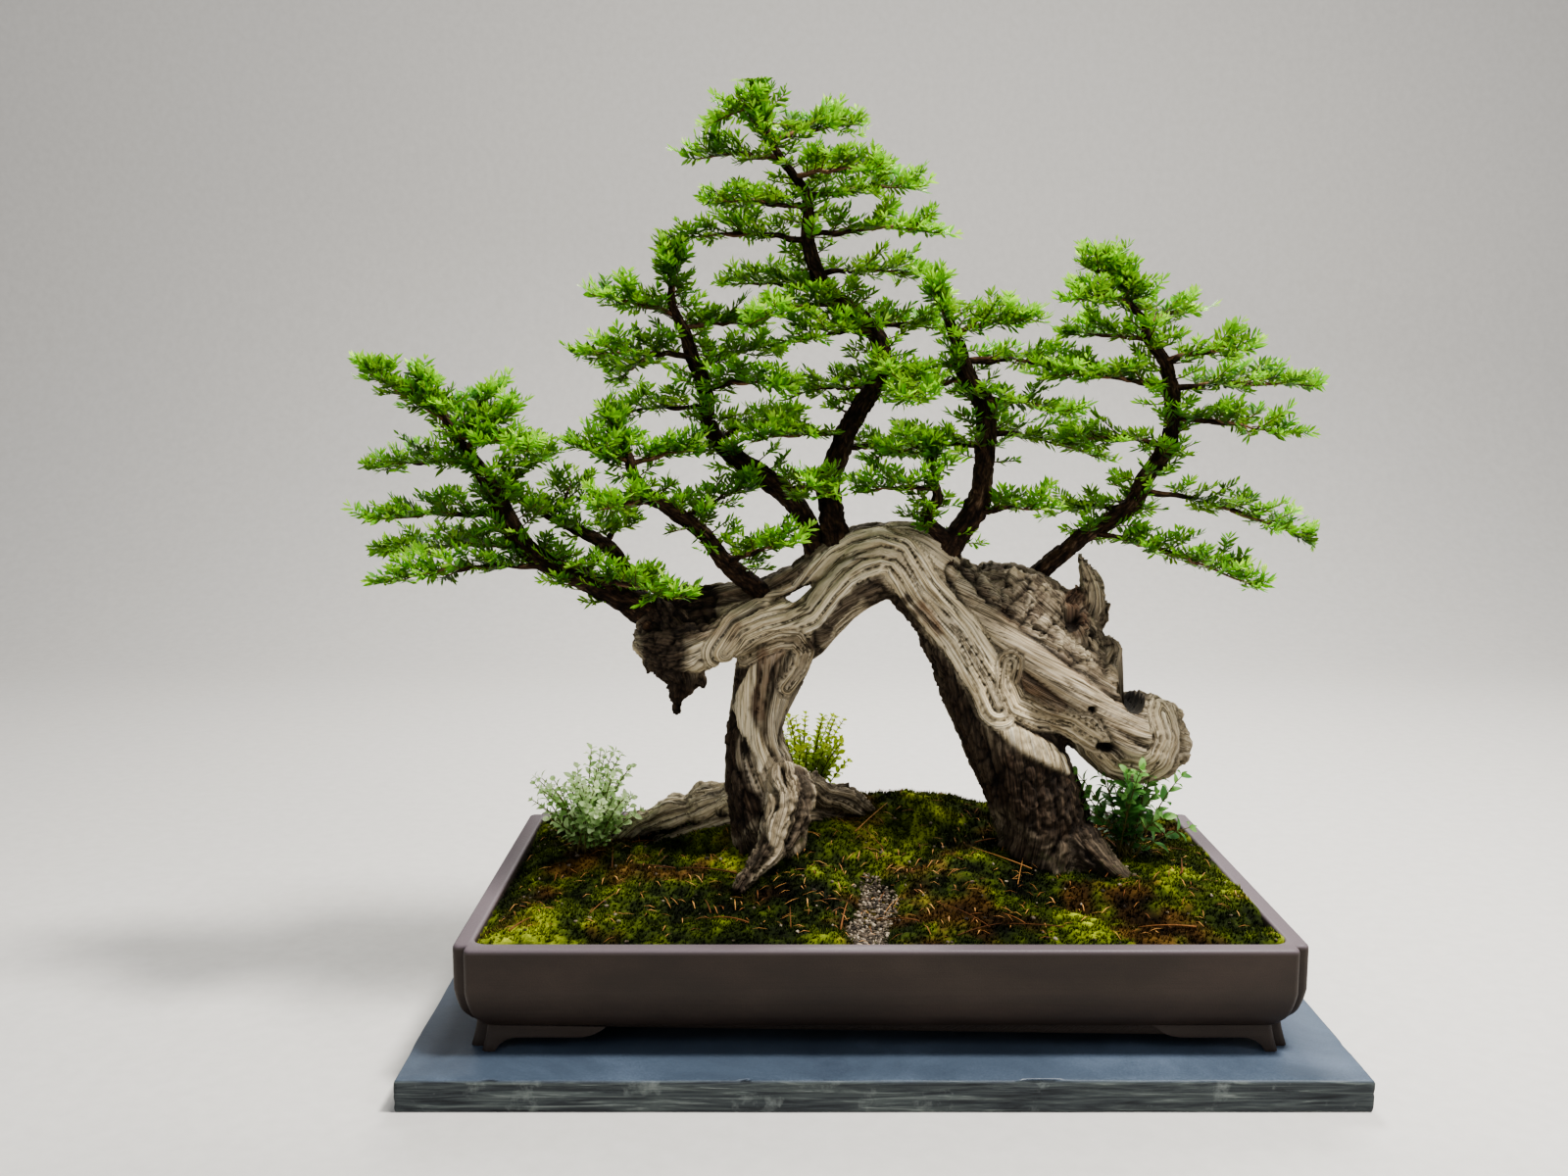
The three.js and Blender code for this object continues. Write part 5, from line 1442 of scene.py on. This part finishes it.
def add_needles(shape, curve, rng, age, bare=0.06, size=1.0, roll=0.0):
    """One shoot: two ranks of needles along a curve, shorter at its foot and closing round its tip."""
    length = np.linalg.norm(curve[2] - curve[0]) * 1.03
    pairs = max(4, int(length * (1 - bare) / NEEDLE["pitch"]))
    t = np.repeat(bare + (1 - bare) * (np.arange(pairs) + 0.5) / pairs, 2)
    way = np.tile([-1.0, 1.0], pairs)
    t = np.clip(t + rng.normal(0, 0.22 / pairs, 2 * pairs), 0, 1)
    last = t > 1 - 1.0 / pairs
    forward = curve_way(curve, t)
    side = turn_about(unit(np.cross(forward, UP)), forward, np.full((len(t), 1), roll))
    normal = np.cross(side, forward)
    profile = np.clip(0.6 + 1.4 * (t - bare), 0, 1) * (1.0 - 0.42 * np.clip((t - 0.75) / 0.25, 0, 1))
    long = size * NEEDLE["length"] * profile * rng.uniform(0.8, 1.14, len(t))
    lean = np.radians(34 + 24 * np.clip((t - 0.5) / 0.5, 0, 1) + rng.normal(0, 8, len(t)))
    lean = np.where(last, np.radians(rng.uniform(55, 85, len(t))), lean)
    lift = rng.normal(0.14, 0.2, len(t))
    out = unit(way[:, None] * side * np.cos(lean)[:, None] + forward * np.sin(lean)[:, None]
               + normal * lift[:, None])
    wide = turn_about(unit(np.cross(normal, out)), out, rng.normal(0, 0.45, (len(t), 1)))
    flat = np.cross(out, wide)
    foot = on_curve(curve, t)
    half = (0.5 * size * NEEDLE["width"] * rng.uniform(0.85, 1.15, len(t)))[:, None]
    long = long[:, None]
    droop = rng.normal(0.02, 0.06, (len(t), 1)) * long
    belly = foot + out * long * 0.62 + flat * droop
    tip = foot + out * long + flat * droop * 2.2
    points = np.stack([foot - wide * half * 0.45, foot + wide * half * 0.45,
                       belly - wide * half, belly + wide * half, tip], 1).reshape(-1, 3)
    faces = (BLADE[None] + (np.arange(len(t)) * 5)[:, None, None]).reshape(-1, 3)
    ages = age[0] + (age[1] - age[0]) * t ** 1.4
    ages = np.repeat(ages[:, None], 5, 1) + np.array([-0.06, -0.06, 0.02, 0.02, 0.08])
    tone = np.repeat(rng.random(len(t)), 5)
    shape.add(points, faces, age=np.clip(ages, 0, 1).ravel(), tone=tone,
              flow=np.zeros((len(points), 3)), crack=0)


def add_twig(shape, curve, radius, end_radius, age, material, sides, steps, wobble=0.0, seed=0):
    """A slim closed twig along a curve."""
    t = np.linspace(0, 1, steps + 1)
    centre = on_curve(curve, t)
    if wobble:
        at = np.column_stack([t * steps * 0.6, t * 0, np.full(steps + 1, float(seed))])
        centre = centre + wobble * wobbles(at, 0) * (t * (1 - t) * 4)[:, None]
    line = np.column_stack([centre, radius + (end_radius - radius) * t])
    points, quads, caps, flow = tube(line, sides, dome=False)
    shape.add(points, triangles(quads, caps), material, age=age, tone=0.4, flow=flow * MM,
              crack=np.clip(noise(points / 4, seed) * 0.4, 0, 1))


def small_shoots(shape, curve, rng, fresh, count):
    """Short shoots that leave a shoot to either side."""
    for _ in range(count):
        u = rng.uniform(0.25, 0.8)
        base = on_curve(curve, u)
        ahead = curve_way(curve, u)
        aside = unit(np.cross(ahead, UP)) * rng.choice([-1.0, 1.0])
        angle = math.radians(rng.uniform(32, 60))
        go = unit(ahead * math.cos(angle) + aside * math.sin(angle) + np.array([0, 0, rng.uniform(-0.2, 0.6)]))
        end = base + go * rng.uniform(11, 20)
        small = np.array([base, (base + end) / 2 - [0, 0, 0.8], end])
        add_needles(shape, small, rng, (fresh + 0.08, min(fresh + 0.5, 1.0)), 0.08, 0.88, rng.normal(0, 0.5))


def grow_spray(shape, curve, rng, first=0.16, reach=33.0, density=1.0, twig=1.5, brightness=0.0):
    """A branch's foliage: side shoots in a loose pad, rising at their tips, with smaller shoots on them."""
    length = np.linalg.norm(curve[2] - curve[0])
    add_twig(shape, curve, 1.35 * twig, 0.6, 0.2, 1, 6, max(6, int(length / 5)), 2.2, int(rng.integers(1000)))
    add_needles(shape, np.array([on_curve(curve, 0.8), on_curve(curve, 0.9), curve[2]]), rng,
                (0.55 + brightness, 1.0), 0.0, 1.0, rng.normal(0, 0.3))
    count = max(8, int(length * (1 - first) / 4.6 * density))
    for i in range(count):
        share = (i + rng.uniform(-0.4, 0.4)) / max(count - 1, 1)
        t = float(np.clip(first + (0.98 - first) * share, first, 0.98))
        start = on_curve(curve, t)
        forward = curve_way(curve, t)
        level = unit(np.cross(forward, UP)) * (i % 2 * 2 - 1)
        spread = math.radians(rng.uniform(30, 72) * (1 - 0.35 * t))
        rise = rng.uniform(-0.15, 1.1) * (1 if rng.random() < 0.85 else -0.5)
        way = unit(forward * math.cos(spread) + level * math.sin(spread) + np.array([0, 0, rise * 0.75]))
        outer = math.sin(math.pi * min(max((t - first) / (1 - first) * 0.75 + 0.22, 0), 1))
        span = min(reach * (0.42 + 0.58 * outer) * rng.uniform(0.7, 1.15), 0.75 * length)
        tip = start + way * span + np.array([0, 0, 0.08 * span])
        side_curve = np.array([start, (start + tip) / 2 - np.array([0, 0, 0.10 * span]), tip])
        fresh = -0.02 + 0.42 * t + 0.16 * rise + rng.uniform(-0.18, 0.2) + brightness
        if rng.random() < 0.34:
            fresh *= 0.3
        fresh = min(max(fresh, 0.0), 0.72)
        add_twig(shape, side_curve, 0.8, 0.3, 0.35, 1 if rng.random() < 0.6 else 0, 3, 3)
        ages = (fresh - 0.12, min(fresh + 0.46, 1.0))
        add_needles(shape, side_curve, rng, ages, 0.12, 1.0, rng.normal(0, 0.45))
        small_shoots(shape, side_curve, rng, fresh, 2 if span > 20 else 1)


def clothe(shape, line, rng, low, every, reach=(13, 26)):
    """Short dark shoots straight from a stem, from a height upwards."""
    centre = dense_line(line, 2.0)
    along = line_frame(centre[:, :3])[3]
    place = rng.uniform(0, every)
    while place < along[-1]:
        x, y, z, radius = centre[min(int(np.searchsorted(along, place)), len(centre) - 1)]
        place += every * rng.uniform(0.6, 1.4)
        if z < low:
            continue
        angle = rng.uniform(0, 2 * math.pi)
        way = unit(np.array([math.cos(angle), math.sin(angle), rng.uniform(-0.1, 0.9)]))
        start = np.array([x, y, z]) + way * radius * 0.5
        tip = start + way * (rng.uniform(*reach) + radius * 0.5)
        curve = np.array([start, (start + tip) / 2 - [0, 0, 1.5], tip])
        fresh = rng.uniform(0.0, 0.5)
        add_twig(shape, curve, 0.8, 0.4, 0.3, 1, 3, 3)
        add_needles(shape, curve, rng, (fresh, fresh + 0.35), 0.25, 0.95, rng.normal(0, 0.6))
        small_shoots(shape, curve, rng, fresh, 1)


# Height from which each trunk carries short shoots
CLOTHED_FROM = [372, 405, 480, 540, 500, 425]


def make_crowns(rng):
    for number, (line, tops, _) in enumerate(TRUNKS):
        shape = Shape()
        top, rise = end_of(line)
        grow_spray(shape, arched(top - rise * 22, top + rise * 18), rng, 0.05, 26, 2.0, 1.6, 0.12)
        for height, *tip in tops:
            curve = arched(point_at_height(line, height), np.array(tip, float))
            grow_spray(shape, curve, rng, 0.1, 31, 1.3, 2.0, 0.08)
        every, reach = (2.6, (16, 34)) if number == 0 else (3.4, (14, 30))
        clothe(shape, line, rng, CLOTHED_FROM[number], every, reach)
        shape.build(f"fine_crown_{number + 1}", [NEEDLES, TWIG], [f"crown_{number + 1}"])


def make_sprays(rng):
    stems = [(f"{n + 1}", line, branches) for n, (line, _, branches) in enumerate(TRUNKS)]
    stems += [(f"fork_{n + 1}", line, branches) for n, (line, branches) in enumerate(FORKS)]
    for label, line, branches in stems:
        for b, (height, *tips) in enumerate(branches):
            shape = Shape()
            curve = arched(point_at_height(line, height), np.array(tips[:3], float))
            grow_spray(shape, curve, rng)
            if len(tips) > 3:
                grow_spray(shape, arched(on_curve(curve, 0.4), np.array(tips[3:], float)), rng)
            if label.startswith("fork") and b == 0:
                clothe(shape, line, rng, 430, 3.5)
                end, way = end_of(line)
                grow_spray(shape, arched(end, end + way * 34), rng, 0.0, 26, 1.6)
            name = f"spray_{label}_{b + 1}"
            shape.build("fine_" + name, [NEEDLES, TWIG], [name])


# Small plants

ACCENTS = {
    "thyme_plant": {
        "x": -264, "y": 18, "stems": 64, "reach": 62, "height": 122, "leaf": (9.8, 6.6), "pitch": 8.0,
        "seed": 5, "slot": "pale_leaves", "glow": (0.5, 0.7, 0.35),
        "stops": colours((0.0, 0x4A6832), (0.3, 0x84AD58), (0.6, 0xB4D68A), (1.0, 0xE6F5C4))},
    "creeping_plant": {
        "x": -58, "y": 112, "stems": 60, "reach": 58, "height": 128, "leaf": (8.0, 6.4), "pitch": 7.0,
        "seed": 8, "slot": "lime_leaves", "glow": (0.7, 0.8, 0.05),
        "stops": colours((0.0, 0x3E5A10), (0.3, 0x7CA01A), (0.6, 0xA9C92A), (1.0, 0xD6E860))},
    "marjoram_plant": {
        "x": 241, "y": -12, "stems": 26, "reach": 64, "height": 122, "leaf": (15.5, 8.4), "pitch": 11.5,
        "seed": 3, "slot": "green_leaves", "glow": (0.35, 0.7, 0.2),
        "stops": colours((0.0, 0x132E0E), (0.35, 0x295624), (0.65, 0x4A803A), (1.0, 0x8CBB66))},
}
STEMS = colours((0.0, 0x4B3A22), (0.6, 0x6F6A35), (1.0, 0x8DA050))
# An ovate leaf: share of its length, share of its width and lift
LEAF = [(0.0, 0.08, 0), (0.25, 0.85, 0.04), (0.5, 0.96, 0.05), (0.78, 0.56, 0.0), (1.0, 0.0, -0.10)]


def add_leaf(shape, foot, out, normal, size, age, tone):
    """An ovate leaf with a folded midrib and a curved tip."""
    length, width = size
    side = np.cross(normal, out)
    rows = []
    for share, wide, lift in LEAF:
        middle = foot + out * length * share + normal * length * lift
        half = side * width * 0.5 * wide
        edge = normal * width * 0.14 * wide
        rows += [middle - half + edge, middle, middle + half + edge]
    shape.add(np.array(rows), grid_faces(len(LEAF), 3), age=age, tone=tone,
              flow=np.zeros((len(rows), 3)), crack=0)


def make_accents():
    """Each small plant: stems from one foot, with pairs of leaves that cross from pair to pair."""
    for name, plan in ACCENTS.items():
        rng = np.random.default_rng(plan["seed"])
        look = leaf_material(plan["slot"], plan["stops"], plan["glow"], 0.5, 0.3)
        stem_look = leaf_material(plan["slot"] + "_stems", STEMS, plan["glow"], 0.6, 0.1)
        shape = Shape()
        ground = float(soil_base(np.array([plan["x"]]), np.array([plan["y"]]))[0])
        foot = np.array([plan["x"], plan["y"], ground - 3.0])
        for _ in range(plan["stems"]):
            angle = rng.uniform(0, 2 * math.pi)
            out = plan["reach"] * math.sqrt(rng.random()) * 0.92
            rise = plan["height"] * (0.42 + 0.58 * rng.random()) * (1 - 0.35 * (out / plan["reach"]) ** 2)
            root = foot + np.array([rng.normal(0, 5), rng.normal(0, 5), 0])
            tip = foot + np.array([out * math.cos(angle), 0.85 * out * math.sin(angle), rise])
            curve = np.array([root, (root + tip) / 2 + [0, 0, 0.22 * rise], tip])
            add_twig(shape, curve, 0.8, 0.4, 0.4, 1, 4, 7)
            pairs = max(3, int(np.linalg.norm(tip - root) * 0.8 / plan["pitch"]))
            for i in range(pairs + 1):
                t = 0.2 + 0.8 * i / pairs
                place = on_curve(curve, t)
                forward = curve_way(curve, t)
                side = unit(np.cross(forward, np.array([0.3, 0.1, 0.9])))
                side = turn_about(side, forward, (i % 2) * math.pi / 2 + rng.normal(0, 0.3))
                size = np.array(plan["leaf"]) * rng.uniform(0.75, 1.15)
                size = size * (0.55 + 0.55 * math.sin(math.pi * min(t, 0.85)))
                age = min(max(0.25 + 0.6 * t + rng.normal(0, 0.1), 0), 1)
                for way in (-1, 1):
                    direction = unit(side * way + forward * rng.uniform(0.3, 0.9))
                    normal = unit(np.cross(np.cross(direction, forward), direction))
                    add_leaf(shape, place, direction, normal, size, age, rng.random())
                if i == pairs:
                    add_leaf(shape, place, forward, side, size * 0.7, min(age + 0.15, 1), rng.random())
        shape.build("fine_" + name, [look, stem_look], [name])


# Fallen needles and twigs

def surface_height(point, half):
    x, y = np.clip(point[:2], -half, half)
    return float(soil_top(np.array([x]), np.array([y]))[0][0])


def make_litter():
    rng = np.random.default_rng(77)
    shape = Shape()
    count, twigs = 620, 34
    x, y = on_soil(rng, count, lambda a, b: (
        rng.random(len(a)) < 0.3 + 0.7 * bell((a + 10) / 200, (b + 60) / 90)))
    z = soil_top(x, y)[0]
    for i in range(count):
        angle = rng.uniform(0, 2 * math.pi)
        length = rng.uniform(6, 15)
        way = np.array([math.cos(angle), math.sin(angle), 0])
        start = np.array([x[i], y[i], z[i] + 2.2])
        end = start + way * length
        end[2] = surface_height(end, SOIL_HALF - 4) + rng.uniform(1.5, 4.5)
        if (np.abs(end[:2]) > LITTER_HALF).any():
            continue
        middle = (start + end) / 2 + [0, 0, rng.uniform(0.5, 2.5)]
        side = unit(np.cross(way, [0, 0, 1.0])) * rng.uniform(0.35, 0.6)
        points = np.array([start - side * 0.4, start + side * 0.4, middle - side, middle + side, end])
        shape.add(points, BLADE, tone=rng.uniform(0.35, 1))
    for _ in range(twigs):
        place = np.array([rng.uniform(-300, 310), rng.uniform(-170, 60), 0])
        angle = rng.uniform(0, math.pi)
        length = rng.uniform(18, 58)
        half = np.array([math.cos(angle), math.sin(angle), 0]) * length / 2
        ends = [place - half, place + half]
        for end in ends:
            end[:2] = np.clip(end[:2], 6 - SOIL_HALF, SOIL_HALF - 6)
            end[2] = surface_height(end, SOIL_HALF) + rng.uniform(2, 6)
        curve = np.array([ends[0], (ends[0] + ends[1]) / 2 + [0, 0, rng.uniform(1, 6)], ends[1]])
        t = np.linspace(0, 1, 8)
        radius = rng.uniform(0.4, 0.95)
        line = np.column_stack([on_curve(curve, t), radius * (1 - 0.6 * t)])
        points, quads, caps, _ = tube(line, 5, dome=False)
        shape.add(points, triangles(quads, caps), tone=rng.uniform(0.1, 0.8))
    shape.build("fallen_litter", [LITTER])


make_slab()
make_pot()
for number in (1, 2):
    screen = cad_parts[f"drainage_screen_{number}"].data
    screen.materials.clear()
    screen.materials.append(SCREEN)
make_soil()
make_moss()
make_gravel()
make_litter()
make_old_wood()
make_live_wood()
foliage_rng = np.random.default_rng(41)
make_crowns(foliage_rng)
make_sprays(foliage_rng)
make_accents()


# Floor, light and camera, in metres

def make_floor():
    """A pale floor that curves up into a wall behind the object."""
    look = Look("pale_floor", 0.9, 0.2)
    grain = look.noise(look.place(), 60, 3)
    stops = [(0.3, (0.60, 0.585, 0.56)), (0.7, (0.64, 0.625, 0.60))]
    material = look.finish(Base_Color=look.ramp(grain, stops))
    front, back, bend, top, half = -3.0, 1.6, 0.9, 4.0, 5.0
    turn = np.linspace(0, math.pi / 2, 13)[1:]
    profile = [(front, 0.0), (back, 0.0)]
    profile += [(back + bend * math.sin(a), bend - bend * math.cos(a)) for a in turn] + [(back + bend, top)]
    points = np.array([(x, y, z) for y, z in profile for x in (-half, half)])
    faces = [[i, i + 1, i + 3, i + 2] for i in range(0, 2 * len(profile) - 2, 2)]
    floor = loose_object("floor", points / MM, faces)
    floor.data.materials.append(material)
    floor.data.shade_smooth()


def add_light(name, place, target, size, power, colour=(1, 1, 1)):
    light = bpy.data.lights.new(name, "AREA")
    light.shape = "DISK"
    light.size = size
    light.energy = power
    light.color = colour
    lamp = link_object(name, light)
    lamp.location = place
    lamp.rotation_euler = (Vector(target) - Vector(place)).to_track_quat("-Z", "Y").to_euler()


make_floor()
add_light("key", (0.8, -0.35, 2.3), (0, 0, 0.35), 0.45, 88, (1.0, 0.97, 0.92))
add_light("back", (0.2, 1.5, 1.9), (0, 0, 0.5), 0.8, 44, (1.0, 0.98, 0.93))
add_light("front", (-1.5, -2.2, 1.6), (0, 0, 0.3), 2.0, 14, (0.95, 0.97, 1.0))
add_light("side", (2.0, -1.4, 1.5), (0, 0, 0.3), 1.0, 14)
scene = bpy.context.scene
scene.view_settings.look = "AgX - Medium High Contrast"
scene.world = bpy.data.worlds.new("studio")
scene.world.use_nodes = True
background = scene.world.node_tree.nodes["Background"]
background.inputs["Color"].default_value = (0.93, 0.95, 1.0, 1)
background.inputs["Strength"].default_value = 0.34

camera_data = bpy.data.cameras.new("camera")
camera_data.lens = 33.75
camera_data.sensor_width = 36
scene.camera = link_object("camera", camera_data)
scene.camera.location = (-0.079, -1.337, 0.565)
scene.camera.rotation_euler = (math.radians(82.4), 0, 0)
